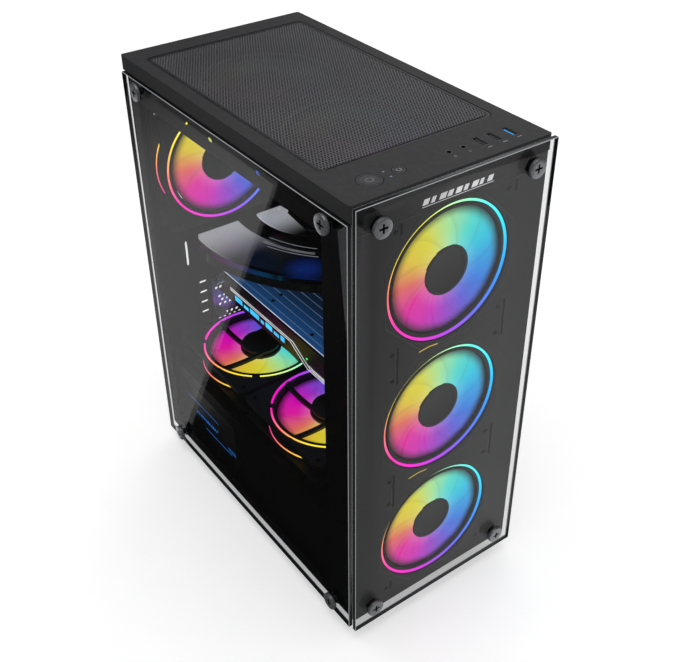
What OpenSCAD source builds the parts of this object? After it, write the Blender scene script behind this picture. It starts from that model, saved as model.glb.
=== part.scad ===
// Desktop computer tower: glass front and glass left side held off the steel case by thumbscrews,
// plastic top cover with the front controls and a lift-off dust filter, eight lit fans, a graphics
// card, a motherboard with a stepped half-round cooling hood, and a power supply under a shroud.
// X runs to the right of the front, Y runs to the rear, Z runs up. The origin is at the middle of
// the bottom of the whole object's box.

/* [Case] */
// Width of the top cover
case_w = 183; // [170:1:240]
// Depth of the top cover
case_d = 331; // [320:1:420]
// Height from the floor to the top of the cover
case_h = 433; // [425:1:540]
// Height of the feet
foot_h = 17; // [8:1:24]
// Thickness of the steel sheets
sheet_t = 1; // [0.8:0.1:1.5]
// How far the left sheets are set in from the cover's side
side_inset = 3.7; // [2:0.1:6]
// Width of the upright posts beside the side opening
front_post_w = 36; // [20:1:40]
// Width of the rear post
rear_post_w = 14; // [8:1:20]
// Height of the rail over the side opening
top_rail_h = 26; // [12:1:30]
// Height of the rail under the side opening
bottom_rail_h = 12; // [6:1:20]
// Thickness of the front panel
front_t = 2; // [1.5:0.1:3]
// Distance from the motherboard tray to the right side
tray_gap = 5.5; // [4:0.5:25]

/* [Top cover] */
// Height of the cover's side
cover_h = 13; // [11:1:25]
// Wall of the cover
cover_t = 2; // [1.5:0.1:3]
// Corner radius of the cover
cover_r = 2; // [1:0.5:6]
// Distance from the front of the cover to the mesh
mesh_front = 47.5; // [40:0.5:60]
// Width of the mesh opening
mesh_w = 160; // [130:1:165]
// Depth of the mesh opening
mesh_d = 262; // [240:1:270]
// Corner radius of the mesh opening
mesh_r = 8; // [3:0.5:20]
// Thickness of the dust filter
filter_t = 1.2; // [1:0.1:2]

/* [Front controls] */
// Distance from the front of the cover to the row of controls
row_y = 21.4; // [15:0.1:26]
// Power button: distance from the left of the cover
power_x = 32; // [25:0.5:34]
// Power button diameter
power_dia = 19; // [15:0.5:20]
// Power button travel
power_travel = 1.5; // [1:0.1:2]
// Reset button: distance from the left of the cover
reset_x = 57.1; // [54:0.5:65]
// Reset button diameter
reset_dia = 10.3; // [8:0.1:11]
// Reset button travel
reset_travel = 1.2; // [1:0.1:2]
// Distance from the left of the cover to the status lights
led_x = 47; // [46:0.1:49]
// Distance between the two status lights
led_gap = 8.6; // [6:0.1:12]
// Diameter of a status light
led_dia = 2; // [1.5:0.1:3]
// Sockets for headphones: distances from the left of the cover
jack_x = [102, 115.5];
// Bore of a headphone socket
jack_bore = 3.6; // [3.5:0.1:3.8]
// Outer diameter of a headphone socket's collar
jack_dia = 6.4; // [6:0.1:8]
// Sockets for plugs: distances from the left of the cover
usb_x = [131.4, 144.7, 160.2];
// Width of a plug socket
usb_w = 4.6; // [4.4:0.1:5.5]
// Length of a plug socket
usb_l = 13.2; // [12.5:0.1:14]
// Depth of the sockets
socket_depth = 14.2; // [12:0.1:15]

/* [Glass] */
// Thickness of the glass panels
glass_t = 4; // [3:0.5:5]
// Gap between the front glass and the front of the cover
front_gap = 2.4; // [1.5:0.1:6]
// How far the side glass stands out past the side of the cover
side_proud = 1.85; // [1:0.05:4]
// Height of the front glass
front_glass_h = 420; // [410:1:424]
// Height of the side glass
side_glass_h = 406; // [396:1:407]
// Front glass screws: distance from the sides
front_screw_x = 20.6; // [14:0.1:30]
// Front glass screws: distance from the top and the bottom
front_screw_z = 18.5; // [12:0.5:30]
// Side glass screws: distance from the front and the rear
side_screw_y = 26.5; // [14:0.5:30]
// Side glass screws: distance from the top and the bottom
side_screw_z = 10; // [9:0.5:20]
// Diameter of a thumbscrew's head
screw_dia = 16; // [12:0.5:18]
// Height of a thumbscrew's head
screw_h = 3; // [2:0.5:8]
// Diameter of a thumbscrew's shank
shank_dia = 4; // [3:0.5:5]
// Thickness of the washer under a head
washer_t = 0.6; // [0.4:0.1:2]

/* [Fans] */
// Side of a fan's square frame
fan_size = 120; // [92:1:120]
// Depth of a fan
fan_t = 25; // [20:1:28]
// Distance between the front fans' centres
front_pitch = 130; // [124:1:140]
// Distance from the top of the case to the first front fan's centre
front_drop = 85.7; // [80:0.1:95]
// Rear fan: distance from the case's middle, to the left
rear_fan_left = 16; // [10:0.5:24]
// Rear fan: distance from the top of the case to its centre
rear_drop = 112; // [90:1:120]
// Distance between the top fans' centres
top_pitch = 125; // [121:1:130]
// Distance between the fans that lie on the shroud
shroud_pitch = 125; // [121:1:130]
// Shroud fans: distance from the case's middle, to the left
shroud_fan_left = 12; // [5:0.5:16]
// Distance from the case's middle to the rear shroud fan
shroud_fan_y = 97; // [90:1:100]
// Number of blades on a case fan
blades = 9; // [5:1:11]
// Width of a light ring
ring_w = 4; // [2:0.5:5]
// Radius of a case fan's hub
hub_r = 20.7; // [18:0.1:24]
// Radius of the shaft of a fan
shaft_r = 2.5; // [2:0.1:4]
// Radial play of a shaft in its bore
shaft_play = 0.05; // [0.02:0.01:0.09]

/* [Power supply] */
// Width of the power supply
psu_w = 150; // [140:1:150]
// Height of the power supply
psu_h = 86; // [80:1:86]
// Depth of the power supply
psu_d = 140; // [125:1:160]
// Height of the shroud over the power supply, above the case's floor
shroud_h = 90; // [89:1:100]
// How far the shroud is set in from the left sheet
shroud_inset = 5.8; // [4:0.1:8]

/* [Boards] */
// Height and depth of the motherboard
board_size = 244; // [240:1:244]
// Thickness of a circuit board
board_t = 1.6; // [1.2:0.1:2]
// Height of the spacers behind the motherboard
standoff_h = 5; // [4:0.5:6.5]
// Height of the motherboard's lower edge above the shroud
board_lift = 13; // [4:1:20]
// Height of the rear connectors' opening
io_h = 158; // [158:1:160]
// How far the rear connectors stand off the board
io_reach = 30; // [28:0.5:32]
// Top of the graphics card above the case's floor
card_top = 171; // [168:1:175]
// Height of the graphics card
card_h = 32; // [30:1:34]
// Reach of the graphics card from the motherboard
card_reach = 92.4; // [85:0.1:96]
// Length of the graphics card
card_l = 240; // [200:1:250]
// Pitch of the expansion slots
slot_pitch = 20.32; // [20.32:0.01:20.32]

/* [Cooling hood] */
// Height of the hood's rim above the case's floor
hood_z = 228; // [226:1:236]
// Outer radius of the hood
hood_r = 176; // [165:1:176]
// Height of the hood's rim
rim_h = 9; // [6:0.5:12]
// Distance from the motherboard's face to the centre of the hood's arcs
hood_cx = 41.6; // [35:0.1:50]
// Distance from the case's middle to the centre of the hood's arcs
hood_cy = 135; // [125:1:140]

/* [Hidden] */
$fn = 64;

// Small amounts
eps = 0.01;
// Gap left between pieces that move past each other
gap = 0.3;
// Gap left round a piece that is set in a cut-out
fit = 0.2;

// Planes of the case, measured from the middle of the top cover
left = -case_w / 2 + side_inset;
right = case_w / 2 - 1;
front = -case_d / 2 + 0.5;
rear = case_d / 2 - 1;
floor_z = foot_h;
body_top = case_h - cover_h;
inner_front = front + front_t;
inner_rear = rear - sheet_t;
tray_x = right - tray_gap - sheet_t;
board_x = tray_x - standoff_h - board_t;

// Glass panels and their screws
front_glass_y = -case_d / 2 - front_gap - glass_t;
side_glass_x = -case_w / 2 - side_proud;
front_glass_z = case_h - 0.6 - front_glass_h;
side_glass_z = body_top - 1.4 - side_glass_h;
side_glass_y0 = -case_d / 2 + 0.6;
side_glass_y1 = case_d / 2 - 1.7;
head_proud = washer_t + screw_h;
panel_screw_h = 6;

// Middle of the whole object's box
x_mid = (side_glass_x - head_proud + case_w / 2) / 2;
y_mid = (front_glass_y - head_proud + rear + sheet_t + panel_screw_h) / 2;

// Fans
ring_r = fan_size / 2 - 2;
blade_r = fan_size / 2 - 8.5;
barrel_r = fan_size / 2 - 7.4;
fan_hole_r = fan_size / 2 - 1;
front_fan_z = [for (i = [0:2]) case_h - front_drop - i * front_pitch];
rear_fan_z = case_h - rear_drop;
shroud_top = floor_z + shroud_h;
shroud_x = left + shroud_inset;
top_fan_mid = -case_d / 2 + mesh_front + mesh_d / 2;
top_fan_y = [top_fan_mid - top_pitch / 2, top_fan_mid + top_pitch / 2];
top_fan_z = body_top - sheet_t;
rear_fan_y = inner_rear - fan_t;
shroud_fan_z = shroud_top + fan_t;

// Power supply
psu_x0 = shroud_x + sheet_t + 5;
psu_z0 = floor_z + sheet_t + 2;
psu_y0 = inner_rear - psu_d;
psu_fan_r = 56;
psu_cx = psu_x0 + psu_w / 2;
psu_cy = psu_y0 + psu_d / 2;
inlet_w = 28;
inlet_h = 21;
rocker_r = 7.6;
rocker_w = 9.6;
rocker_depth = 5;
switch_w = 14;
socket_x = psu_x0 + 24;
socket_z = psu_z0 + 58;
module_w = inlet_w + switch_w;

// Motherboard
board_z0 = shroud_top + board_lift;
board_y1 = inner_rear - 0.5;
board_y0 = board_y1 - board_size;
io_z0 = board_z0 + board_size - io_h;

// Graphics card
card_z1 = floor_z + card_top;
card_z0 = card_z1 - card_h;
card_x0 = board_x - card_reach;
card_y1 = inner_rear - 2;
card_y0 = card_y1 - card_l;
backplate_t = 2;
card_board_z = card_z1 - backplate_t - 1 - board_t;
card_wall = 2;
card_fan_r = 36;
card_fan_y = [card_y1 - 62, card_y1 - 152];
card_fan_gap = 0.6;
card_fan_x = (card_x0 + board_x - 12) / 2;
slot_x0 = card_x0 - 13;
slot_x1 = board_x - 0.4;
slot_h = slot_pitch - 2;
slot_z = [for (i = [0:2]) card_board_z - 13 - i * slot_pitch];

// Hood
hood_x = board_x + hood_cx;
hood_top = floor_z + hood_z;

// Screws of the right panel, in the rear flange
panel_screw_x = right - screw_dia / 2 - 0.8;
panel_screw_z = [floor_z + 45, body_top - 30];

function cover_x(d) = -case_w / 2 + d;
function row_pos() = -case_d / 2 + row_y;

module place() {
  translate([-x_mid, -y_mid, 0]) children();
}

// Flat rectangle with round corners, centred
module round_rect(w, d, r) {
  square([w - 2 * r, d], center = true);
  square([w, d - 2 * r], center = true);
  for (x = [-1, 1], y = [-1, 1]) translate([x * (w / 2 - r), y * (d / 2 - r)]) circle(r);
}

// Box given by two opposite corners
module box(a, b) {
  translate(a) cube(b - a);
}

// Slot with round ends, centred, along X
module slot2d(l, w) {
  square([l - w, w], center = true);
  for (x = [-1, 1]) translate([x * (l - w) / 2, 0]) circle(w / 2, $fn = 24);
}

// Turns a piece drawn along +Z so that it faces the front, the left or the floor
module face_front() { rotate([90, 0, 0]) children(); }
module face_left() { rotate([0, -90, 0]) children(); }
module face_rear() { rotate([-90, 0, 0]) children(); }
module face_down() { rotate([180, 0, 0]) children(); }

// ---------------------------------------------------------------- case

module chassis_floor() {
  color("#1b1b1c") place() difference() {
    box([left, inner_front, floor_z], [right - sheet_t, inner_rear, floor_z + sheet_t]);
    // Air slots under the power supply's fan
    for (i = [-5:5]) translate([psu_cx + i * 9, psu_cy, floor_z - 1])
      linear_extrude(sheet_t + 2) rotate(90) slot2d(2 * sqrt(pow(psu_fan_r - 4, 2) - pow(i * 9, 2)), 4);
    // Holes for the feet's screws
    for (p = foot_places()) translate([p[0], p[1], floor_z - 1]) cylinder(r = 2.1, h = sheet_t + 2);
  }
}

function foot_places() = [for (x = [left + 26, right - 26], y = [front + 32, rear - 32]) [x, y]];

module feet() {
  color("#161617") place() for (p = foot_places()) translate([p[0], p[1], 0]) difference() {
    union() {
      linear_extrude(foot_h * 0.35) round_rect(22, 32, 5);
      translate([0, 0, foot_h * 0.35]) linear_extrude(foot_h * 0.65) round_rect(26, 36, 6);
      translate([0, 0, foot_h]) cylinder(r = 2, h = sheet_t + 1.5);
    }
    translate([0, 0, -1]) cylinder(r = 5, h = foot_h * 0.5 + 1);
  }
}

module rear_panel() {
  color("#1b1b1c") place() difference() {
    box([left, inner_rear, floor_z], [right - sheet_t, rear, body_top]);
    // Fan opening
    translate([-rear_fan_left, rear + 1, rear_fan_z]) face_front() cylinder(r = barrel_r + 2, h = sheet_t + 2);
    for (x = [-1, 1], z = [-1, 1]) translate([-rear_fan_left + x * screw_span(), rear + 1, rear_fan_z + z * screw_span()])
      face_front() cylinder(r = 2.2, h = sheet_t + 2);
    // Opening of the rear connectors
    box([board_x - io_reach - fit, inner_rear - 1, io_z0 - fit], [board_x + fit, rear + 1, io_z0 + io_h + fit]);
    // Expansion slots
    for (z = slot_z) box([slot_x0 + 4, inner_rear - 1, z - slot_h / 2], [slot_x1 - 4, rear + 1, z + slot_h / 2]);
    // Power supply
    box([psu_x0 + 4, inner_rear - 1, psu_z0 + 4], [psu_x0 + psu_w - 4, rear + 1, psu_z0 + psu_h - 4]);
    // Short vents beside the slots and a tall one above them
    for (i = [0:3]) translate([slot_x0 - 9, rear + 1, slot_z[0] + 9 - i * 12.2]) face_front()
      linear_extrude(sheet_t + 2) slot2d(8, 2.6);
    translate([slot_x0 - 23, rear + 1, slot_z[0] + 48]) face_front()
      linear_extrude(sheet_t + 2) rotate(90) slot2d(28, 2.6);
    // Threads of the right panel's screws
    for (z = panel_screw_z) translate([panel_screw_x, rear + 1, z]) face_front()
      cylinder(r = shank_dia / 2 + shaft_play, h = sheet_t + 2);
  }
}

module motherboard_tray() {
  color("#1b1b1c") place() difference() {
    union() {
      box([tray_x, inner_front + fan_t + 8, floor_z + sheet_t], [tray_x + sheet_t, inner_rear, body_top - sheet_t]);
      // Spacers that the motherboard is screwed to
      for (y = [board_y0 + 12, board_y1 - 12], z = [board_z0 + 12, board_z0 + board_size - 12])
        translate([tray_x, y, z]) face_left() cylinder(r = 3, h = standoff_h);
    }
    // Openings for cables
    for (z = [board_z0 + 40, board_z0 + 130, board_z0 + 210])
      translate([tray_x - 1, board_y0 - 18, z]) rotate([0, 90, 0]) linear_extrude(sheet_t + 2) round_rect(40, 18, 5);
    for (y = [board_y0 + 12, board_y1 - 12], z = [board_z0 + 12, board_z0 + board_size - 12])
      translate([tray_x + sheet_t + 1, y, z]) face_left() cylinder(r = 1.6, h = standoff_h + sheet_t + 2);
  }
}

function screw_span() = fan_size / 2 - 7.5;

module front_frame() {
  color("#202021") place() difference() {
    box([left, front, floor_z], [right - sheet_t, inner_front, body_top]);
    for (z = front_fan_z) translate([0, inner_front + 1, z]) {
      face_front() cylinder(r = fan_hole_r, h = front_t + 2);
      for (x = [-1, 1], w = [-1, 1]) translate([x * screw_span(), 0, w * screw_span()])
        face_front() cylinder(r = 2.2, h = front_t + 2);
    }
    // Tall slots beside the fans
    for (x = [-47.8, 59.5]) {
      for (i = [0, 1]) tall_slot(x, (front_fan_z[i] + front_fan_z[i + 1]) / 2, 36);
      tall_slot(x, front_fan_z[0] + 53.5, 10);
      tall_slot(x, front_fan_z[2] - 51, 10);
    }
    // Threads of the front standoffs
    for (p = front_screws()) translate([p[0], front - 1, p[1]]) face_rear() cylinder(r = 2.5, h = front_t + 2);
  }
}

module tall_slot(x, z, h) {
  translate([x, inner_front + 1, z]) face_front() linear_extrude(front_t + 2) rotate(90) slot2d(h, 2.6);
}

function front_screws() = [for (x = [-1, 1], z = [front_glass_z + front_screw_z,
  front_glass_z + front_glass_h - front_screw_z]) [x * (case_w / 2 - front_screw_x), z]];

function side_screws() = [for (y = [side_glass_y0 + side_screw_y, side_glass_y1 - side_screw_y],
  z = [side_glass_z + side_screw_z, side_glass_z + side_glass_h - side_screw_z]) [y, z]];

module side_frame() {
  rail_z = body_top - top_rail_h;
  color("#1b1b1c") place() difference() {
    union() {
      box([left, inner_front, floor_z + sheet_t], [left + sheet_t, inner_rear, body_top - sheet_t]);
      // Folded edges that stiffen the opening
      box([left, inner_front, floor_z + sheet_t], [left + 9, inner_front + sheet_t, body_top - sheet_t]);
      box([left, inner_front + front_post_w - sheet_t, floor_z + bottom_rail_h],
          [left + 5, inner_front + front_post_w, rail_z + sheet_t]);
      box([left, inner_rear - rear_post_w, floor_z + bottom_rail_h],
          [left + 5, inner_rear - rear_post_w + sheet_t, rail_z + sheet_t]);
      box([left, inner_front + front_post_w, rail_z], [left + 9, inner_rear - rear_post_w, rail_z + sheet_t]);
    }
    box([left - 1, inner_front + front_post_w, floor_z + bottom_rail_h],
        [left + sheet_t + 1, inner_rear - rear_post_w, rail_z]);
    for (p = side_screws()) translate([left - 1, p[0], p[1]]) rotate([0, 90, 0]) cylinder(r = 2.5, h = sheet_t + 2);
    // Key slots along the top rail
    for (y = [-46, 24, 62]) translate([left - 1, y, body_top - 14]) rotate([0, 90, 0])
      linear_extrude(sheet_t + 2) rotate(90) slot2d(7, 4);
  }
}

module top_frame() {
  color("#1b1b1c") place() difference() {
    box([left, inner_front, body_top - sheet_t], [right - sheet_t, inner_rear, body_top]);
    for (y = top_fan_y) translate([0, y, body_top - sheet_t - 1]) {
      cylinder(r = fan_hole_r, h = sheet_t + 2);
      for (a = [-1, 1], b = [-1, 1]) translate([a * screw_span(), b * screw_span(), 0]) cylinder(r = 2.2, h = sheet_t + 2);
    }
    // Room for the sockets and cables of the front controls
    translate([cover_x((jack_x[0] + usb_x[2]) / 2), row_pos(), body_top - sheet_t - 1]) linear_extrude(sheet_t + 2)
      round_rect(usb_x[2] - jack_x[0] + 8, 18, 4);
  }
}

module psu_shroud() {
  y0 = inner_front + fan_t + 4;
  color("#161617") place() difference() {
    union() {
      box([shroud_x, y0, shroud_top - sheet_t], [tray_x - gap, inner_rear, shroud_top]);
      box([shroud_x, y0, floor_z + sheet_t], [shroud_x + sheet_t, inner_rear, shroud_top]);
    }
    // Openings under the fans that lie on it
    for (y = shroud_fan_places()) translate([-shroud_fan_left, y, shroud_top - sheet_t - 1]) {
      cylinder(r = barrel_r, h = sheet_t + 2);
      for (a = [-1, 1], b = [-1, 1]) translate([a * screw_span(), b * screw_span(), 0]) cylinder(r = 2.2, h = sheet_t + 2);
    }
    // Window that shows the power supply's label
    translate([shroud_x - 1, (psu_y0 + inner_rear) / 2 + 4, psu_z0 + psu_h / 2 - 2]) rotate([0, 90, 0])
      linear_extrude(sheet_t + 2) round_rect(psu_h - 24, psu_d - 24, 4);
  }
}

function shroud_fan_places() = [shroud_fan_y, shroud_fan_y - shroud_pitch];

// ---------------------------------------------------------------- top cover and controls

module top_cover() {
  color("#2c2c2d") place() difference() {
    translate([0, 0, body_top]) linear_extrude(cover_h) round_rect(case_w, case_d, cover_r);
    // Hollow underside
    translate([0, 0, body_top - 1]) linear_extrude(cover_h - cover_t + 1)
      round_rect(case_w - 2 * cover_t, case_d - 2 * cover_t, cover_r);
    // Opening of the dust filter, with a ledge that the filter rests on
    translate([0, top_fan_mid, body_top]) linear_extrude(cover_h + 1) round_rect(mesh_w - 8, mesh_d - 8, mesh_r);
    translate([0, top_fan_mid, case_h - filter_t]) linear_extrude(filter_t + 1) round_rect(mesh_w, mesh_d, mesh_r);
    translate([cover_x(power_x), row_pos(), body_top]) cylinder(r = power_dia / 2 + gap, h = cover_h + 1);
    translate([cover_x(reset_x), row_pos(), body_top]) cylinder(r = reset_dia / 2 + gap, h = cover_h + 1);
    for (s = [-1, 1]) translate([cover_x(led_x), row_pos() + s * led_gap / 2, body_top]) cylinder(r = led_dia / 2, h = cover_h + 1);
    for (x = jack_x) translate([cover_x(x), row_pos(), body_top]) cylinder(r = jack_dia / 2 + fit, h = cover_h + 1);
    for (x = usb_x) translate([cover_x(x), row_pos(), body_top]) linear_extrude(cover_h + 1)
      square([usb_w + 0.8 + 2 * fit, usb_l + 0.8 + 2 * fit], center = true);
  }
}

module dust_filter() {
  color("#232324") place() translate([0, top_fan_mid, case_h - filter_t]) {
    difference() {
      linear_extrude(filter_t - 0.2) round_rect(mesh_w - 2 * gap, mesh_d - 2 * gap, mesh_r - gap);
      translate([0, 0, 0.5]) linear_extrude(filter_t) round_rect(mesh_w - 20, mesh_d - 20, mesh_r - 3);
    }
  }
}

// Button with a flange below the cover that stops it from coming out, and a bore that rides on a pin
module button(x, dia, travel) {
  top = case_h + 0.2;
  flange_top = case_h - cover_t - 0.05;
  color("#3a3a3c") place() translate([cover_x(x), row_pos(), 0]) difference() {
    union() {
      translate([0, 0, flange_top - 1]) cylinder(r = dia / 2 + 1.2, h = 1);
      translate([0, 0, flange_top - eps]) cylinder(r = dia / 2, h = top - flange_top - 0.4);
      translate([0, 0, top - 0.4 - eps]) cylinder(r1 = dia / 2, r2 = dia / 2 - 0.4, h = 0.4);
      translate([0, 0, flange_top - 4]) cylinder(r = 2.6, h = 3.5);
    }
    translate([0, 0, flange_top - 5]) cylinder(r = 1.5 + shaft_play, h = 5.2);
    // Groove round the cap
    translate([0, 0, top - 0.3]) difference() {
      cylinder(r = dia / 2 - 1.6, h = 1);
      translate([0, 0, -1]) cylinder(r = dia / 2 - 2.1, h = 3);
    }
  }
}

module power_button() { button(power_x, power_dia, power_travel); }
module reset_button() { button(reset_x, reset_dia, reset_travel); }

module front_io_board() {
  z = body_top + 2.6;
  x0 = cover_x(power_x - 14);
  x1 = cover_x(usb_x[2] + 9);
  color("#133a22") place() {
    difference() {
      box([x0, row_pos() - 10, z - board_t], [x1, row_pos() + 10, z]);
      // The sound sockets stand in notches open to the rear
      for (x = jack_x) translate([cover_x(x), row_pos(), z - board_t - 1]) {
        cylinder(r = jack_dia / 2, h = board_t + 2);
        translate([-jack_dia / 2, 0, 0]) cube([jack_dia, 12, board_t + 2]);
      }
      for (x = usb_x) translate([cover_x(x), row_pos(), z]) cube([usb_w + 0.8, usb_l + 0.8, 2 * board_t + 2], center = true);
    }
    // Pins that guide the buttons
    for (x = [power_x, reset_x]) translate([cover_x(x), row_pos(), z - eps]) cylinder(r = 1.5, h = case_h - cover_t - 2 - z);
    // Spacers down to the case
    for (x = [x0 + 3, x1 - 3]) translate([x, row_pos() - 6, body_top]) cylinder(r = 2, h = z - board_t - body_top + eps);
  }
}

module usb_ports() {
  z = case_h - socket_depth - 1;
  color("#c9cacc") place() for (x = usb_x) translate([cover_x(x), row_pos(), z]) {
    difference() {
      linear_extrude(case_h - z - 0.1) square([usb_w + 0.8, usb_l + 0.8], center = true);
      translate([0, 0, 1]) linear_extrude(socket_depth + 1) square([usb_w, usb_l], center = true);
    }
    // Tongue that carries the contacts
    translate([usb_w / 2 - 1.9, -usb_l / 2 + 0.6, 0.5]) cube([1.8, usb_l - 1.2, case_h - z - 1.6]);
  }
}

module audio_jacks() {
  z = case_h - socket_depth - 0.8;
  color("#101010") place() for (x = jack_x) translate([cover_x(x), row_pos(), z]) difference() {
    cylinder(r = jack_dia / 2, h = case_h - z + 0.1);
    translate([0, 0, 2.2]) cylinder(r = jack_bore / 2, h = socket_depth + 1);
  }
}

module status_leds() {
  z = body_top + 2.6;
  color("#dfe9ff") place() for (s = [-1, 1]) translate([cover_x(led_x), row_pos() + s * led_gap / 2, z])
    cylinder(r = led_dia / 2 - 0.1, h = case_h - z - 0.1, $fn = 32);
}

// ---------------------------------------------------------------- fans

// Curved strut from the motor's base to the rim, tangent to the base
module strut2d() {
  intersection() {
    difference() {
      circle(ring_r + 1.2);
      circle(15);
    }
    translate([-28, 17 - 150]) difference() {
      circle(152.4, $fn = 128);
      circle(148, $fn = 128);
    }
    translate([-fan_size, 0]) square([fan_size, fan_size]);
  }
}

// Frame of a fan. The blade side faces +Z and lies on z = 0, and the struts are at the other side.
module fan_frame() {
  difference() {
    union() {
      translate([0, 0, -fan_t]) cylinder(r = fan_size / 2 - 0.4, h = fan_t);
      for (z = [-fan_t, -4.5]) translate([0, 0, z]) linear_extrude(4.5) round_rect(fan_size, fan_size, 6);
    }
    translate([0, 0, -fan_t - 1]) cylinder(r = barrel_r, h = fan_t + 2);
    for (x = [-1, 1], y = [-1, 1]) translate([x * screw_span(), y * screw_span(), -fan_t - 1]) cylinder(r = 2.15, h = fan_t + 2);
    fan_ring_groove(0);
    fan_ring_groove(-fan_t);
  }
  translate([0, 0, -fan_t]) {
    cylinder(r = 19, h = 3);
    linear_extrude(3) for (a = [0:90:270]) rotate(a) strut2d();
    cylinder(r = shaft_r, h = fan_t - 6);
  }
}

module fan_ring_groove(z) {
  s = z == 0 ? -1.5 : -0.5;
  difference() {
    translate([0, 0, z + s]) cylinder(r = ring_r, h = 2);
    translate([0, 0, z + s - 1]) cylinder(r = ring_r - ring_w, h = 4);
  }
}

module fan_light_pair() {
  translate([0, 0, -1.5]) difference() {
    cylinder(r = ring_r, h = 1.4);
    translate([0, 0, -1]) cylinder(r = ring_r - ring_w, h = 4);
  }
  translate([0, 0, -fan_t]) difference() {
    translate([0, 0, 0.1]) cylinder(r = ring_r, h = 1.4);
    translate([0, 0, -1]) cylinder(r = ring_r - ring_w, h = 4);
    translate([0, 0, -1]) linear_extrude(4) for (a = [0:90:270]) rotate(a) offset_strut2d();
  }
}

module offset_strut2d() {
  intersection() {
    difference() {
      circle(ring_r + 2);
      circle(ring_r - ring_w - 2);
    }
    translate([-28, 17 - 150]) difference() {
      circle(152.6, $fn = 128);
      circle(147.8, $fn = 128);
    }
    translate([-fan_size, 0]) square([fan_size, fan_size]);
  }
}

// Rotor of a fan, in the same place as the frame
module fan_rotor(hub, tip, depth, count, pitch) {
  difference() {
    translate([0, 0, -depth]) cylinder(r = hub, h = depth - 1);
    translate([0, 0, -depth - 1]) difference() {
      cylinder(r = hub - 2, h = depth - 2);
      cylinder(r = shaft_r + 2.5, h = depth);
    }
    translate([0, 0, -depth - 1]) cylinder(r = shaft_r + shaft_play, h = depth - 3);
  }
  for (i = [0:count - 1]) rotate(i * 360 / count) intersection() {
    difference() {
      translate([0, 0, -depth + 1.5]) cylinder(r = tip, h = depth - 4);
      translate([0, 0, -depth]) cylinder(r = hub - 1, h = depth);
    }
    translate([(hub + tip) / 2, 0, -depth / 2 - 0.5]) rotate([pitch, 0, 0]) cube([tip - hub + 6, 3 * depth, 1.6], center = true);
  }
}

module case_fan_rotor() { fan_rotor(hub_r, blade_r, fan_t - 4, blades, 36); }

module at_front_fan(i) { place() translate([0, inner_front, front_fan_z[i]]) face_front() children(); }
module at_rear_fan() { place() translate([-rear_fan_left, rear_fan_y, rear_fan_z]) face_front() children(); }
module at_top_fan(i) { place() translate([0, top_fan_y[i], top_fan_z]) children(); }
module at_shroud_fan(i) {
  place() translate([-shroud_fan_left, shroud_fan_places()[i], shroud_top]) rotate([180, 0, 180]) children();
}

module front_fan_1_frame() { color("#19191a") at_front_fan(0) fan_frame(); }
module front_fan_2_frame() { color("#19191a") at_front_fan(1) fan_frame(); }
module front_fan_3_frame() { color("#19191a") at_front_fan(2) fan_frame(); }
module rear_fan_frame() { color("#19191a") at_rear_fan() fan_frame(); }
module top_fan_1_frame() { color("#19191a") at_top_fan(0) fan_frame(); }
module top_fan_2_frame() { color("#19191a") at_top_fan(1) fan_frame(); }
module shroud_fan_1_frame() { color("#19191a") at_shroud_fan(0) fan_frame(); }
module shroud_fan_2_frame() { color("#19191a") at_shroud_fan(1) fan_frame(); }

module front_fan_1_rotor() { color("#b04fd0") at_front_fan(0) case_fan_rotor(); }
module front_fan_2_rotor() { color("#b04fd0") at_front_fan(1) case_fan_rotor(); }
module front_fan_3_rotor() { color("#b04fd0") at_front_fan(2) case_fan_rotor(); }
module rear_fan_rotor() { color("#b04fd0") at_rear_fan() case_fan_rotor(); }
module top_fan_1_rotor() { color("#b04fd0") at_top_fan(0) case_fan_rotor(); }
module top_fan_2_rotor() { color("#b04fd0") at_top_fan(1) case_fan_rotor(); }
module shroud_fan_1_rotor() { color("#b04fd0") at_shroud_fan(0) case_fan_rotor(); }
module shroud_fan_2_rotor() { color("#b04fd0") at_shroud_fan(1) case_fan_rotor(); }

module fan_lights() {
  color("#f2d53c") {
    for (i = [0:2]) at_front_fan(i) fan_light_pair();
    at_rear_fan() fan_light_pair();
    for (i = [0, 1]) at_top_fan(i) fan_light_pair();
    for (i = [0, 1]) at_shroud_fan(i) fan_light_pair();
  }
}

// ---------------------------------------------------------------- motherboard

module motherboard() {
  color("#0e1216") place() difference() {
    box([board_x, board_y0, board_z0], [board_x + board_t, board_y1, board_z0 + board_size]);
    for (y = [board_y0 + 12, board_y1 - 12], z = [board_z0 + 12, board_z0 + board_size - 12])
      translate([board_x - 1, y, z]) rotate([0, 90, 0]) cylinder(r = 1.6, h = board_t + 2);
  }
}

module board_components() {
  color("#1a1a1c") place() {
    // Slot of the graphics card, with the card's edge in its groove
    difference() {
      box([board_x - 11, inner_rear - 145, card_board_z - 3], [board_x, inner_rear - 55, card_board_z + board_t + 3]);
      box([board_x - 12, inner_rear - 143, card_board_z - 0.1], [board_x - 3, inner_rear - 57, card_board_z + board_t + 0.1]);
    }
    // Slots of the memory modules
    for (i = [0, 1]) difference() {
      box([board_x - 6, memory_y(i) - 3, memory_z0() - 4], [board_x, memory_y(i) + 3, memory_z0() + 137]);
      box([board_x - 7, memory_y(i) - 0.8, memory_z0() - 0.2], [board_x - 2, memory_y(i) + 0.8, memory_z0() + 133.2]);
    }
    // Power connector and solid-state drive
    box([board_x - 12, board_y0 + 4, board_z0 + 150], [board_x, board_y0 + 14, board_z0 + 202]);
    box([board_x - 4, board_y0 + 40, board_z0 + 22], [board_x - 1.5, board_y0 + 120, board_z0 + 44]);
    box([board_x - 5, board_y0 + 120, board_z0 + 22], [board_x, board_y0 + 126, board_z0 + 44]);
    box([board_x - 1.5, board_y0 + 40, board_z0 + 30], [board_x, board_y0 + 46, board_z0 + 36]);
  }
}

function memory_y(i) = board_y0 + 24 + i * 11;
function memory_z0() = board_z0 + 100;

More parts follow.
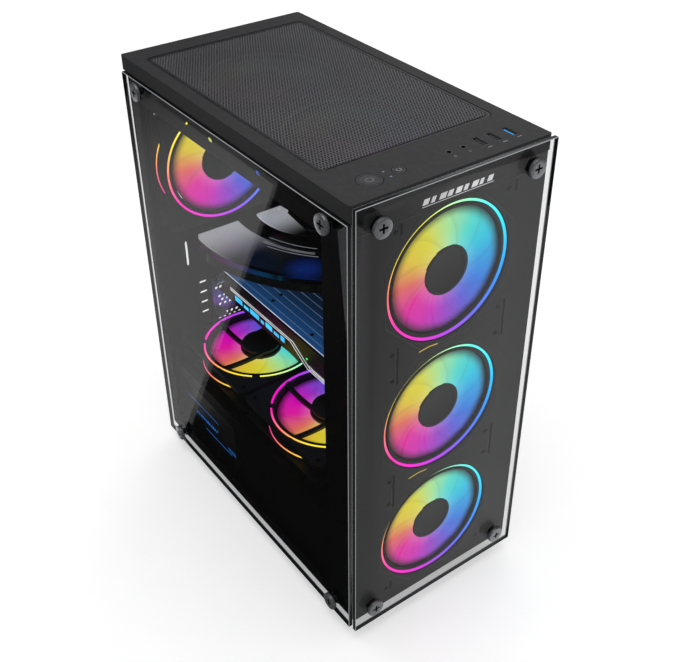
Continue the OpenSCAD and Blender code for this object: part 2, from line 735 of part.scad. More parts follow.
module memory_modules() {
  color("#26262a") place() for (i = [0, 1]) {
    box([board_x - 36, memory_y(i) - 0.7, memory_z0()], [board_x - 2.2, memory_y(i) + 0.7, memory_z0() + 133]);
    box([board_x - 36, memory_y(i) - 3.5, memory_z0() + 2], [board_x - 7, memory_y(i) - 0.7, memory_z0() + 131]);
    box([board_x - 36, memory_y(i) + 0.7, memory_z0() + 2], [board_x - 7, memory_y(i) + 3.5, memory_z0() + 131]);
  }
}

// Connectors at the rear: distance of each from the opening's lower end, its height and its reach
io_blocks = [[4, 14, 22], [20, 16, 17], [38, 16, 17], [56, 16, 17], [76, 18, 15], [98, 16, 24], [118, 34, 26]];

module rear_io_ports() {
  color("#8f9296") place() difference() {
    union() {
      box([board_x - io_reach, inner_rear + 0.2, io_z0], [board_x, rear - 0.2, io_z0 + io_h]);
      for (b = io_blocks) box([board_x - b[2], inner_rear - 16, io_z0 + b[0]], [board_x, rear + 0.6, io_z0 + b[0] + b[1]]);
    }
    for (b = io_blocks) if (b[1] < 30)
      box([board_x - b[2] + 1.5, rear - 2.4, io_z0 + b[0] + 1.5], [board_x - 3, rear + 2, io_z0 + b[0] + b[1] - 1.5]);
    // Three shallow sound sockets in the tall block
    for (i = [0:2]) translate([board_x - 13, rear + 2, io_z0 + 118 + 6 + i * 11]) face_front() cylinder(r = 1.8, h = 4.4);
  }
}

// ---------------------------------------------------------------- cooling hood

// Part of a ring round the hood's centre, cut off at the motherboard and the rear panel
module hood_sector(r_out, r_in, z, h, rear_cut) {
  intersection() {
    translate([hood_x, hood_cy, z]) difference() {
      cylinder(r = r_out, h = h, $fn = 160);
      if (r_in > 0) translate([0, 0, -1]) cylinder(r = r_in, h = h + 2, $fn = 160);
    }
    box([-case_w, -case_d, z - 1], [board_x - 8, rear_cut, z + h + 1]);
  }
}

module hood_body() {
  y1 = inner_rear - 12;
  color("#141416") place() {
    hood_sector(hood_r, hood_r - 7, hood_top - rim_h, rim_h, y1);
    hood_sector(hood_r - 6.5, 66, hood_top - rim_h, 3, y1);
    hood_sector(116, 100, hood_top - rim_h + 2.9, 2.1, y1);
    // Block over the processor that carries the upper plate
    intersection() {
      box([board_x - 60, hood_cy - 70, hood_top - rim_h + 2.9], [board_x - 8, hood_cy - 8, hood_top + 12]);
      hood_sector(98, 0, hood_top - rim_h, rim_h + 30, y1);
    }
  }
}

module hood_lower_plate() {
  color("#b9bcc0") place() hood_sector(163, 118, hood_top - rim_h + 3, rim_h - 4, inner_rear - 13);
}

// Crescent plate above the processor
module hood_upper_plate() {
  r = 70;
  color("#c4c7ca") place() translate([hood_x - 39.7, hood_cy - 21.5, hood_top + 12]) difference() {
    intersection() {
      cylinder(r = r, h = 2, $fn = 128);
      translate([0, 0, -1]) linear_extrude(4)
        polygon([[-r - 5, 14.5], [-41, 14.5], [-39.7, 2.2], [-43, 1.5], [-48.9, -54], [-r - 5, -54]]);
    }
    translate([-46, 9, -1]) cylinder(r = 1.6, h = 4);
  }
}

module cpu_cooler() {
  base_y = hood_cy - 35;
  z1 = hood_top - rim_h;
  color("#a9abad") place() {
    // Half-round fins, stacked under the hood
    for (i = [0:5]) intersection() {
      translate([board_x, base_y, z1 - 4 - i * 4.6]) cylinder(r = 82, h = 0.8, $fn = 96);
      box([board_x - 90, base_y - 82, 0], [board_x - 12, inner_rear - 20, case_h]);
    }
    // Heat pipes
    for (y = [-36, -12, 12, 36]) translate([board_x - 40, base_y + y, z1 - 28]) cylinder(r = 3, h = 28);
    // Base block on the processor
    box([board_x - 40, base_y - 24, z1 - 30], [board_x, base_y + 24, z1 - 27]);
    box([board_x - 10, base_y - 22, z1 - 30], [board_x, base_y + 22, z1]);
  }
}

// ---------------------------------------------------------------- graphics card

module gpu_backplate() {
  color("#1d4f7c") place() difference() {
    box([card_x0, card_y0, card_z1 - backplate_t], [board_x - 13, card_y1, card_z1]);
    // Bevelled front corner
    translate([card_x0, card_y0, card_z1 - backplate_t - 1]) rotate(-45) translate([-14, -14, 0]) cube([28, 28, 10], center = false);
  }
}

module gpu_board() {
  color("#12151a") place() {
    box([card_x0 + 3, card_y0 + 16, card_board_z], [board_x - 11.2, card_y1 - 0.5, card_board_z + board_t]);
    // Edge that goes into the slot
    box([board_x - 11.3, inner_rear - 141, card_board_z], [board_x - 3.4, inner_rear - 59, card_board_z + board_t]);
    // Spacers to the backplate
    for (y = [card_y0 + 40, card_y1 - 20], x = [card_x0 + 12, board_x - 24])
      translate([x, y, card_board_z + board_t - eps]) cylinder(r = 2, h = 1 + eps);
  }
}

// Shell round the fins. The front end is lower on the glass side, as the trim line shows.
module gpu_shroud() {
  z1 = card_board_z - 0.4;
  x1 = board_x - 13;
  color("#202024") place() difference() {
    box([card_x0, card_y0, card_z0], [x1, card_y1 - 0.5, z1]);
    box([card_x0 + card_wall, card_y0 + card_wall, card_z0 + card_wall], [x1 - card_wall, card_y1, z1 + 1]);
    for (y = card_fan_y) translate([card_fan_x, y, card_z0 - 1]) cylinder(r = card_fan_r + 1.5, h = card_wall + 2);
    translate([card_x0, card_y0, card_z0 - 1]) rotate(-45) translate([-14, -14, 0]) cube([28, 28, card_h + 10]);
  }
}

module gpu_heatsink() {
  z1 = card_board_z - 0.4;
  x0 = card_x0 + card_wall + 0.5;
  x1 = board_x - 13 - card_wall - 0.5;
  color("#9a9da0") place() difference() {
    union() {
      box([x0, card_y0 + 26, z1 - 3], [x1, card_y1 - 6, z1]);
      for (y = [card_y0 + 28:6:card_y1 - 8]) box([x0, y, card_z0 + 15], [x1, y + 1.2, z1 - 2.9]);
      for (y = card_fan_y) translate([card_fan_x, y, card_z0 + card_fan_gap + 5]) cylinder(r = shaft_r, h = 14);
    }
  }
}

module card_rotor(i) {
  place() translate([card_fan_x, card_fan_y[i], card_z0 + card_fan_gap]) face_down()
    fan_rotor(13, card_fan_r, 12, 11, 32);
}

module gpu_rotor_1() { color("#2a2a2e") card_rotor(0); }
module gpu_rotor_2() { color("#2a2a2e") card_rotor(1); }

module gpu_bracket() {
  y1 = inner_rear - 0.2;
  z0 = slot_z[1] - slot_h / 2 - 0.5;
  z1 = slot_z[0] + slot_h / 2 + 0.5;
  color("#c8cacc") place() difference() {
    union() {
      box([slot_x0, y1 - 1, z0], [slot_x1, y1, z1]);
      // Tab that is screwed to the case
      box([slot_x0, y1 - 12, z1 - 1.2], [slot_x0 + 10, y1, z1]);
      box([card_x0 - 8, y1 - 6, z1 - 1], [card_x0, y1, z1 + 5]);
    }
    // Screen sockets
    for (i = [0:2]) box([board_x - 34 - i * 22, y1 - 3, slot_z[0] - 4], [board_x - 18 - i * 22, y1 + 1, slot_z[0] + 2]);
    // Vent holes, in staggered rows
    for (r = [0:2], i = [0:13]) translate([slot_x0 + 8 + i * 6 + (r % 2) * 3, y1 + 1, slot_z[1] - 5 + r * 5])
      face_front() cylinder(r = 1.9, h = 3, $fn = 6);
    for (i = [0:1], r = [0:1]) translate([slot_x0 + 5 + i * 5 + r * 2.5, y1 + 1, slot_z[0] - 4 + r * 5]) face_front()
      cylinder(r = 1.9, h = 3, $fn = 6);
  }
}

module slot_cover() {
  y1 = inner_rear - 0.2;
  color("#1e1e1f") place() difference() {
    union() {
      box([slot_x0, y1 - 1, slot_z[2] - slot_h / 2 - 0.5], [slot_x1, y1, slot_z[2] + slot_h / 2 + 0.5]);
      box([slot_x0, y1 - 12, slot_z[2] + slot_h / 2 - 0.7], [slot_x0 + 10, y1, slot_z[2] + slot_h / 2 + 0.5]);
    }
    for (r = [0, 1], i = [0:15]) translate([slot_x0 + 6 + i * 6 + r * 3, y1 + 1, slot_z[2] - 2.5 + r * 5])
      face_front() cylinder(r = 1.9, h = 3, $fn = 6);
  }
}

// ---------------------------------------------------------------- power supply

module psu_case() {
  t = 1;
  color("#17181a") place() {
    difference() {
      box([psu_x0, psu_y0, psu_z0], [psu_x0 + psu_w, inner_rear, psu_z0 + psu_h]);
      box([psu_x0 + t, psu_y0 + t, psu_z0 + t], [psu_x0 + psu_w - t, inner_rear - t, psu_z0 + psu_h - t]);
      translate([psu_cx, psu_cy, psu_z0 - 1]) cylinder(r = psu_fan_r, h = t + 2);
      // Cut-out of the mains inlet and its switch
      box([socket_x - fit, inner_rear - t - 1, socket_z - inlet_h / 2 - fit],
          [socket_x + module_w + fit, inner_rear + 1, socket_z + inlet_h / 2 + fit]);
      // Rear air holes
      for (i = [0:11], k = [0:3]) translate([psu_x0 + 20 + i * 10 + (k % 2) * 5, inner_rear + 1, psu_z0 + 12 + k * 8])
        face_front() cylinder(r = 3.4, h = t + 2, $fn = 6);
      // Cable opening at the front
      box([psu_x0 + psu_w - 40, psu_y0 - 1, psu_z0 + 50], [psu_x0 + psu_w - 12, psu_y0 + t + 1, psu_z0 + 70]);
    }
    // Bar that carries the fan's shaft
    box([psu_x0 + 0.5, psu_cy - 7, psu_z0 + 24], [psu_x0 + psu_w - 0.5, psu_cy + 7, psu_z0 + 26]);
    translate([psu_cx, psu_cy, psu_z0 + 8]) cylinder(r = shaft_r, h = 16.5);
  }
}

module psu_rotor() {
  color("#1f1f22") place() translate([psu_cx, psu_cy, psu_z0 + 2]) face_down() fan_rotor(19, psu_fan_r - 2, 18, 9, 34);
}

// Mains inlet and the pocket of the rocker switch, in one moulding
module psu_inlet() {
  y1 = inner_rear;
  z0 = socket_z - inlet_h / 2;
  px = socket_x + inlet_w + 2;
  color("#0d0d0e") place() {
    difference() {
      box([socket_x, y1 - 17, z0], [socket_x + module_w, y1 + 0.6, z0 + inlet_h]);
      box([socket_x + 1.8, y1 - 15, z0 + 2.2], [socket_x + inlet_w - 1.8, y1 + 2, z0 + inlet_h - 2.2]);
      box([px, y1 - 14, socket_z - rocker_r - 0.5], [px + rocker_w + 0.4, y1 + 2, socket_z + rocker_r + 0.5]);
    }
    // Three contact blades
    for (i = [-1, 1]) box([socket_x + inlet_w / 2 + i * 7 - 1, y1 - 15.5, socket_z - 4],
                          [socket_x + inlet_w / 2 + i * 7 + 1, y1 - 4, socket_z]);
    box([socket_x + inlet_w / 2 - 1, y1 - 15.5, socket_z + 0.5], [socket_x + inlet_w / 2 + 1, y1 - 4, socket_z + 4.5]);
    // Pin of the rocker
    translate([px - 0.5, y1 - rocker_depth, socket_z]) rotate([0, 90, 0]) cylinder(r = 1, h = rocker_w + 1.4);
  }
}

module psu_switch() {
  px = socket_x + inlet_w + 2.2;
  color("#5a1012") place() translate([px, inner_rear - rocker_depth, socket_z]) rotate([8, 0, 0]) difference() {
    intersection() {
      rotate([0, 90, 0]) cylinder(r = rocker_r, h = rocker_w);
      union() for (s = [-1, 1]) rotate([s * 8, 0, 0]) box([-1, -20, -20], [20, rocker_depth + 0.3, 20]);
    }
    translate([-1, 0, 0]) rotate([0, 90, 0]) cylinder(r = 1 + shaft_play, h = rocker_w + 2);
  }
}

// ---------------------------------------------------------------- glass, right panel and screws

// Threaded standoffs riveted to the case, with a shoulder that the glass rests on
module standoff(h) {
  difference() {
    union() {
      cylinder(r = 5.5, h = h);
      translate([0, 0, -1]) cylinder(r = 2.5, h = 1 + eps);
    }
    translate([0, 0, -2]) cylinder(r = shank_dia / 2 + shaft_play, h = h + 3);
  }
}

module glass_standoffs() {
  front_h = front - (front_glass_y + glass_t) - 0.1;
  side_h = left - (side_glass_x + glass_t) - 0.1;
  color("#0c0c0c") place() {
    for (p = front_screws()) translate([p[0], front, p[1]]) face_front() standoff(front_h);
    for (p = side_screws()) translate([left, p[0], p[1]]) face_left() standoff(side_h);
  }
}

module front_glass() {
  color("#20262a", 0.35) place() difference() {
    box([-case_w / 2, front_glass_y, front_glass_z], [case_w / 2, front_glass_y + glass_t, front_glass_z + front_glass_h]);
    for (p = front_screws()) translate([p[0], front_glass_y - 1, p[1]]) face_rear()
      cylinder(r = shank_dia / 2 + 1, h = glass_t + 2);
  }
}

module side_glass() {
  color("#20262a", 0.35) place() difference() {
    box([side_glass_x, side_glass_y0, side_glass_z], [side_glass_x + glass_t, side_glass_y1, side_glass_z + side_glass_h]);
    for (p = side_screws()) translate([side_glass_x - 1, p[0], p[1]]) rotate([0, 90, 0])
      cylinder(r = shank_dia / 2 + 1, h = glass_t + 2);
  }
}

module right_panel() {
  x0 = right - sheet_t + 0.1;
  color("#1b1b1c") place() difference() {
    union() {
      box([x0, front + 1, floor_z + 0.5], [right + 0.1, rear + 0.2, body_top - gap]);
      // Flange folded over the rear panel
      box([panel_screw_x - 3.5, rear + 0.2, floor_z + 0.5], [right + 0.1, rear + sheet_t, body_top - gap]);
    }
    for (z = panel_screw_z) translate([panel_screw_x, rear - 1, z]) face_rear()
      cylinder(r = shank_dia / 2 + 0.5, h = sheet_t + 3);
  }
}

// Thumbscrew. The head's underside is at z = 0 and the shank runs down from it.
module thumbscrew(head_h, shank) {
  difference() {
    union() {
      cylinder(r = screw_dia / 2, h = head_h - 0.8);
      translate([0, 0, head_h - 0.8 - eps]) cylinder(r1 = screw_dia / 2, r2 = screw_dia / 2 - 0.8, h = 0.8 + eps);
      translate([0, 0, -shank]) cylinder(r = shank_dia / 2, h = shank + eps);
    }
    // Cross recess
    for (a = [0, 90]) rotate(a) translate([-3, -0.8, head_h - 1.6]) cube([6, 1.6, 3]);
  }
  // Washer
  translate([0, 0, -washer_t]) difference() {
    cylinder(r = screw_dia / 2 - 0.6, h = washer_t);
    translate([0, 0, -1]) cylinder(r = shank_dia / 2 - 0.2, h = washer_t + 2);
  }
}

module front_thumbscrews() {
  color("#9b9ea1") place() for (p = front_screws()) translate([p[0], front_glass_y - washer_t, p[1]]) face_front()
    thumbscrew(screw_h, washer_t + glass_t + front_gap + 1);
}

module side_thumbscrews() {
  color("#9b9ea1") place() for (p = side_screws()) translate([side_glass_x - washer_t, p[0], p[1]]) face_left()
    thumbscrew(screw_h, washer_t + glass_t + side_inset + side_proud - glass_t + 1);
}

module panel_thumbscrews() {
  h = panel_screw_h - washer_t;
  color("#9b9ea1") place() for (z = panel_screw_z) translate([panel_screw_x, rear + sheet_t + washer_t, z]) face_rear()
    thumbscrew(h, washer_t + 2 * sheet_t);
}

chassis_floor();
rear_panel();
motherboard_tray();
front_frame();
side_frame();
top_frame();
feet();
psu_shroud();
top_cover();
dust_filter();
power_button();
reset_button();
front_io_board();
usb_ports();
audio_jacks();
status_leds();
slot_cover();
motherboard();
board_components();
rear_io_ports();
memory_modules();
hood_body();
hood_lower_plate();
hood_upper_plate();
cpu_cooler();
gpu_backplate();
gpu_board();
gpu_shroud();
gpu_heatsink();
gpu_bracket();
gpu_rotor_1();
gpu_rotor_2();
psu_case();
psu_rotor();
psu_inlet();
psu_switch();
front_fan_1_frame();
front_fan_2_frame();
front_fan_3_frame();
rear_fan_frame();
top_fan_1_frame();
top_fan_2_frame();
shroud_fan_1_frame();
shroud_fan_2_frame();
front_fan_1_rotor();
front_fan_2_rotor();
front_fan_3_rotor();
rear_fan_rotor();
top_fan_1_rotor();
top_fan_2_rotor();
shroud_fan_1_rotor();
shroud_fan_2_rotor();
fan_lights();
glass_standoffs();
front_glass();
side_glass();
right_panel();
front_thumbscrews();
side_thumbscrews();
panel_thumbscrews();
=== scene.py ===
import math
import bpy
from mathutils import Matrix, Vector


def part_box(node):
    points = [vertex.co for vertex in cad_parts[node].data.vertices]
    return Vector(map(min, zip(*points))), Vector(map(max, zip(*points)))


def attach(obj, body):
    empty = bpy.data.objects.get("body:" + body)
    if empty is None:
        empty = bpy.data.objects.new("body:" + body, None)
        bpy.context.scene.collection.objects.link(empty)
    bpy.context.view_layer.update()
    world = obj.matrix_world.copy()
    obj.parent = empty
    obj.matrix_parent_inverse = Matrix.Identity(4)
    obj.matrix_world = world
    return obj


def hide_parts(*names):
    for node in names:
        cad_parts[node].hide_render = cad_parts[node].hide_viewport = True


bl_info = {
    "name": "Glass Tower Computer",
    "version": (1, 0, 0),
    "blender": (4, 5, 0),
    "location": "3D View > Sidebar > Tower",
    "description": "Builds the looks of a glass-sided desktop computer tower on its fixed frame",
    "category": "Object",
}

import bmesh
import bpy
from mathutils import Vector

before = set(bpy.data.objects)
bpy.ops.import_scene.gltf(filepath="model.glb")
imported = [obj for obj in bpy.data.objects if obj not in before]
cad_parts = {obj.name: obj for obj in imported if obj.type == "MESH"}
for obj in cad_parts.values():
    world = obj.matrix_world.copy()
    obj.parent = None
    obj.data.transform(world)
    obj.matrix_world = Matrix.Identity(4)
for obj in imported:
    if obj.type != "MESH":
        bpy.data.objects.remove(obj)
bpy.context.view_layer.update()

MM = 0.001
COVER_LOW, COVER_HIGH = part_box("top_cover")
MIDDLE = Vector(((COVER_LOW.x + COVER_HIGH.x) / 2, (COVER_LOW.y + COVER_HIGH.y) / 2, 0))
FANS = ("front_fan_1", "front_fan_2", "front_fan_3", "rear_fan", "top_fan_1", "top_fan_2", "shroud_fan_1", "shroud_fan_2")
# How each fan is turned from lying with its blade side up, and which ways its wheel of colours has 3 and 12 o'clock
FACING = {
    "front": ((math.pi / 2, 0, 0), (1, 0, 0), (0, 0, 1)),
    "rear": ((math.pi / 2, 0, 0), (1, 0, 0), (0, 0, 1)),
    "top": ((0, 0, 0), (1, 0, 0), (0, 1, 0)),
    "shroud": ((0, math.pi, 0), (1, 0, 0), (0, -1, 0)),
}
HOOD = (119.0, 135.0)


def at(x, y, z):
    """A place in millimetres, across and along from the middle of the cover and up from the floor."""
    return MIDDLE + Vector((x, y, z)) * MM


def middle_of(node):
    low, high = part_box(node)
    return (low + high) / 2


def colour(code):
    """A hex colour as the linear colour that shaders take."""
    parts = [int(code[i:i + 2], 16) / 255 for i in (1, 3, 5)]
    return tuple(c / 12.92 if c <= 0.04045 else ((c + 0.055) / 1.055) ** 2.4 for c in parts) + (1.0,)


# ---------------------------------------------------------------- sizes and colours a user may change


def length(name, description, default):
    return bpy.props.FloatProperty(name=name, description=description, default=default, unit="LENGTH")


def tone(name, description, code):
    return bpy.props.FloatVectorProperty(
        name=name, description=description, default=colour(code)[:3], subtype="COLOR", size=3)


class TowerLooks(bpy.types.PropertyGroup):
    blade_count: bpy.props.IntProperty(
        name="Blades", description="Blades on each case fan", default=9, min=5, max=13)
    blade_turn: bpy.props.FloatProperty(
        name="Blade width", description="Angle that one blade covers", default=math.radians(56), subtype="ANGLE")
    blade_drop: length("Blade pitch", "Drop of a blade from edge to edge", 0.001)
    hole_pitch: length("Mesh pitch", "Distance between the holes of the dust filter", 0.0026)
    hole_web: length("Mesh web", "Half the metal between two holes", 0.00042)
    pane_edge: length("Glass chamfer", "Chamfer along the edges of the glass", 0.0004)
    screw_chamfer: length("Screw chamfer", "Chamfer round a thumbscrew head", 0.0006)
    glow: bpy.props.FloatProperty(name="Fan glow", description="Brightness of the lit blades", default=1.35)
    ring_glow: bpy.props.FloatProperty(name="Ring glow", description="Brightness of the light rings", default=2.3)
    # Near-black: the case's paint, made darker still as painted shade for its dark inside
    steel: tone("Steel paint", "Colour of the painted case", "#070708")
    plastic: tone("Cover plastic", "Colour of the top cover", "#3c3c3e")
    panel: tone("Front panel", "Colour of the panel behind the front glass", "#2c2c2e")
    glass_tint: bpy.props.FloatProperty(
        name="Glass tint", description="Share of the light that each face of the glass stops", default=0.14, min=0, max=1)


# ---------------------------------------------------------------- node groups


def put(tree, kind, inputs=None, **settings):
    """Adds a shader node. An input is a socket to link from, or a value."""
    made = tree.nodes.new("ShaderNode" + kind)
    for key, value in settings.items():
        setattr(made, key, value)
    for key, value in (inputs or {}).items():
        if isinstance(value, bpy.types.NodeSocket):
            tree.links.new(value, made.inputs[key])
        else:
            made.inputs[key].default_value = value
    return made


def feed(made, values):
    """Sets inputs of a node group or shader that nothing is linked to."""
    for key, value in values.items():
        made.inputs[key].default_value = value


def sum_of(tree, operation, a, b=0.0):
    return put(tree, "Math", {0: a, 1: b}, operation=operation).outputs[0]


def ease(tree, value, low, high, to_low=0.0, to_high=1.0):
    ends = {"From Min": low, "From Max": high, "To Min": to_low, "To Max": to_high}
    return put(tree, "MapRange", {"Value": value, **ends}, interpolation_type="SMOOTHSTEP").outputs[0]


def blend_of(tree, factor, a, b, mode="MIX"):
    made = put(tree, "Mix", {0: factor, 6: a, 7: b}, data_type="RGBA", blend_type=mode)
    return made.outputs[2]


def effect(name, inputs, outputs, build):
    """A node group of that name, built the first time it is asked for."""
    if name in bpy.data.node_groups:
        return bpy.data.node_groups[name]
    group = bpy.data.node_groups.new(name, "ShaderNodeTree")
    for label, kind, value in inputs:
        group.interface.new_socket(name=label, in_out="INPUT", socket_type="NodeSocket" + kind).default_value = value
    for label, kind in outputs:
        group.interface.new_socket(name=label, in_out="OUTPUT", socket_type="NodeSocket" + kind)
    given, given_out = group.nodes.new("NodeGroupInput"), group.nodes.new("NodeGroupOutput")
    build(group, given.outputs, given_out.inputs)
    return group


def grain(tree, given, out):
    place = put(tree, "TexCoord").outputs["Object"]
    stretched = put(tree, "Mapping", {"Vector": place, "Scale": given["Stretch"]}).outputs[0]
    fine = put(tree, "TexNoise", {"Vector": stretched, "Scale": given["Scale"], "Detail": 3.0, "Roughness": 0.6}).outputs["Fac"]
    broad = put(tree, "TexNoise", {"Vector": place, "Scale": 14.0, "Detail": 4.0}).outputs["Fac"]
    mixed = sum_of(tree, "ADD", sum_of(tree, "MULTIPLY", fine, 0.6), sum_of(tree, "MULTIPLY", broad, 0.4))
    level = ease(tree, mixed, 0.3, 0.7)
    tree.links.new(blend_of(tree, level, given["Dark"], given["Light"]), out["Colour"])
    rough = put(tree, "MapRange", {"Value": level, "To Min": given["Smooth"], "To Max": given["Rough"]})
    tree.links.new(rough.outputs[0], out["Roughness"])
    tree.links.new(put(tree, "Bump", {"Height": fine, "Strength": given["Bump"], "Distance": 0.0003}).outputs[0], out["Normal"])


def fine_grain():
    return effect("Fine grain", (
        ("Dark", "Color", (0, 0, 0, 1)), ("Light", "Color", (1, 1, 1, 1)), ("Smooth", "Float", 0.4), ("Rough", "Float", 0.6),
        ("Scale", "Float", 900.0), ("Stretch", "Vector", (1, 1, 1)), ("Bump", "Float", 0.1)),
        (("Colour", "Color"), ("Roughness", "Float"), ("Normal", "Vector")), grain)


def dust(tree, given, out):
    up = put(tree, "SeparateXYZ", {0: put(tree, "NewGeometry").outputs["Normal"]}).outputs["Z"]
    place = put(tree, "TexCoord").outputs["Object"]
    speck = put(tree, "TexNoise", {"Vector": place, "Scale": 220.0, "Detail": 6.0}).outputs["Fac"]
    lying = sum_of(tree, "MULTIPLY", ease(tree, up, 0.6, 1.0), ease(tree, speck, 0.42, 0.75))
    amount = sum_of(tree, "MULTIPLY", lying, given["Amount"])
    tree.links.new(blend_of(tree, amount, given["Colour"], given["Dust"]), out["Colour"])


def settled_dust():
    return effect("Settled dust", (
        ("Colour", "Color", (0, 0, 0, 1)), ("Dust", "Color", (0.25, 0.25, 0.25, 1)), ("Amount", "Float", 0.1)),
        (("Colour", "Color"),), dust)


# Hues of a fan's light, clockwise from 12 o'clock
WHEEL = ("#a5df9c", "#5dd6c6", "#35c5da", "#37a1db", "#417ed7", "#6363cf",
         "#9e49c2", "#cf39b0", "#d8409c", "#da7169", "#dac24c", "#d5d24d")
GLASS_GREY = 0.045


def deep(code):
    """A hue with its grey taken out, as the glass in front adds its own."""
    return tuple(max(0.0, c - GLASS_GREY) for c in colour(code)[:3]) + (1.0,)


def wheel(tree, given, out):
    place = put(tree, "VectorMath", {0: put(tree, "TexCoord").outputs["Object"], 1: given["Centre"]}, operation="SUBTRACT").outputs[0]
    across = put(tree, "VectorMath", {0: place, 1: given["Across"]}, operation="DOT_PRODUCT").outputs["Value"]
    up = put(tree, "VectorMath", {0: place, 1: given["Up"]}, operation="DOT_PRODUCT").outputs["Value"]
    turn = sum_of(tree, "DIVIDE", sum_of(tree, "ARCTAN2", across, up), 2 * math.pi)
    ramp = put(tree, "ValToRGB", {0: sum_of(tree, "FRACT", sum_of(tree, "ADD", turn, 1.0))})
    stops = ramp.color_ramp.elements
    stops[0].color, stops[1].color = deep(WHEEL[0]), deep(WHEEL[0])
    for hour in range(1, 12):
        stops.new(hour / 12).color = deep(WHEEL[hour])
    squares = sum_of(tree, "ADD", sum_of(tree, "MULTIPLY", across, across), sum_of(tree, "MULTIPLY", up, up))
    radius = sum_of(tree, "SQRT", squares)
    pale = ease(tree, radius, 0.019, 0.034, given["Pale"], 0.0)
    lit = blend_of(tree, pale, ramp.outputs[0], (0.75, 0.8, 0.8, 1))
    fade = ease(tree, radius, given["Fade from"], given["Fade to"], 1.0, 0.0)
    # A darker line sweeps outward where one blade ends over the next
    swept = sum_of(tree, "ADD", sum_of(tree, "MULTIPLY", turn, given["Blades"]), sum_of(tree, "MULTIPLY", radius, 22.0))
    sweep = sum_of(tree, "FRACT", swept)
    shade = ease(tree, sweep, 0.0, 0.22, given["Shade"], 1.0)
    bright = sum_of(tree, "MULTIPLY", fade, shade)
    grey = put(tree, "CombineColor", {0: bright, 1: bright, 2: bright}).outputs[0]
    tree.links.new(blend_of(tree, 1.0, lit, grey, "MULTIPLY"), out["Colour"])


def colour_wheel():
    return effect("Colour wheel", (
        ("Centre", "Vector", (0, 0, 0)), ("Across", "Vector", (1, 0, 0)), ("Up", "Vector", (0, 0, 1)), ("Pale", "Float", 0.1),
        ("Fade from", "Float", 0.042), ("Fade to", "Float", 0.0535), ("Blades", "Float", 9.0), ("Shade", "Float", 0.8)),
        (("Colour", "Color"),), wheel)


# Mask of a painted glow: full within its core, gone at its reach
def spot(tree, given, out):
    place = put(tree, "VectorMath", {0: put(tree, "TexCoord").outputs["Object"], 1: given["Centre"]}, operation="SUBTRACT").outputs[0]
    squeezed = put(tree, "VectorMath", {0: place, 1: given["Squeeze"]}, operation="MULTIPLY").outputs[0]
    away = put(tree, "VectorMath", {0: squeezed}, operation="LENGTH").outputs["Value"]
    tree.links.new(ease(tree, away, given["Core"], given["Reach"], 1.0, 0.0), out["Mask"])


def painted_glow_pool():
    return effect("Painted glow pool", (
        ("Centre", "Vector", (0, 0, 0)), ("Squeeze", "Vector", (1, 1, 1)),
        ("Core", "Float", 0.0), ("Reach", "Float", 0.02)),
        (("Mask", "Float"),), spot)


# ---------------------------------------------------------------- materials


def new_material(name):
    material = bpy.data.materials.new(name)
    material.use_nodes = True
    return material, material.node_tree, material.node_tree.nodes["Principled BSDF"]


def finish(name, dark, light, rough=(0.4, 0.6), scale=900.0, stretch=(1, 1, 1), bump=0.08, dusty=0.0, **values):
    """A surface with fine grain in its colour, gloss and relief, and dust on what faces up.

    The further values are the shader's own inputs.
    """
    if name in bpy.data.materials:
        return bpy.data.materials[name]
    material, tree, shader = new_material(name)
    surface = put(tree, "Group", node_tree=fine_grain())
    feed(surface, {"Dark": dark, "Light": light, "Smooth": rough[0], "Rough": rough[1],
                   "Scale": scale, "Stretch": stretch, "Bump": bump})
    paint = surface.outputs["Colour"]
    if dusty:
        lying = put(tree, "Group", node_tree=settled_dust())
        lying.inputs["Amount"].default_value = dusty
        tree.links.new(paint, lying.inputs["Colour"])
        paint = lying.outputs["Colour"]
    tree.links.new(paint, shader.inputs["Base Color"])
    tree.links.new(surface.outputs["Roughness"], shader.inputs["Roughness"])
    tree.links.new(surface.outputs["Normal"], shader.inputs["Normal"])
    feed(shader, {key.replace("_", " "): value for key, value in values.items()})
    return material


def near(code, spread=0.25):
    """A darker and a lighter shade of one colour."""
    base = colour(code)
    return tuple(c * (1 - spread) for c in base[:3]) + (1,), tuple(min(1, c * (1 + spread)) for c in base[:3]) + (1,)


def shades(tone, darker, lighter):
    """A darker and a lighter shade of a colour that the user picks."""
    return tuple(c * darker for c in tone) + (1,), tuple(c * lighter for c in tone) + (1,)


def lit_line(name, code, strength=1.0):
    """A line of light: its brightness ripples a little along its length."""
    if name in bpy.data.materials:
        return bpy.data.materials[name]
    material, tree, shader = new_material(name)
    ripple = put(tree, "TexNoise", {"Vector": put(tree, "TexCoord").outputs["Object"], "Scale": 60.0}).outputs["Fac"]
    dim = tuple(c * 0.75 for c in colour(code)[:3]) + (1,)
    tree.links.new(blend_of(tree, ease(tree, ripple, 0.35, 0.65), dim, colour(code)), shader.inputs["Emission Color"])
    shader.inputs["Base Color"].default_value = (0.02, 0.02, 0.02, 1)
    shader.inputs["Roughness"].default_value = 0.4
    shader.inputs["Emission Strength"].default_value = strength
    return material


def wheel_light(name, fan, strength, shade=0.88, pale=0.1, fade=(0.042, 0.0535)):
    """Light that takes its hue from the place round a fan."""
    _, across, up = FACING[fan.split("_")[0]]
    material, tree, shader = new_material(name)
    group = put(tree, "Group", node_tree=colour_wheel())
    looks = bpy.context.scene.tower_looks
    feed(group, {"Centre": middle_of(fan + "_frame"), "Across": across, "Up": up, "Pale": pale,
                 "Fade from": fade[0], "Fade to": fade[1], "Blades": float(looks.blade_count), "Shade": shade})
    tree.links.new(group.outputs["Colour"], shader.inputs["Emission Color"])
    shader.inputs["Base Color"].default_value = (0.012, 0.012, 0.013, 1)
    shader.inputs["Roughness"].default_value = 0.35
    shader.inputs["Emission Strength"].default_value = strength
    return material


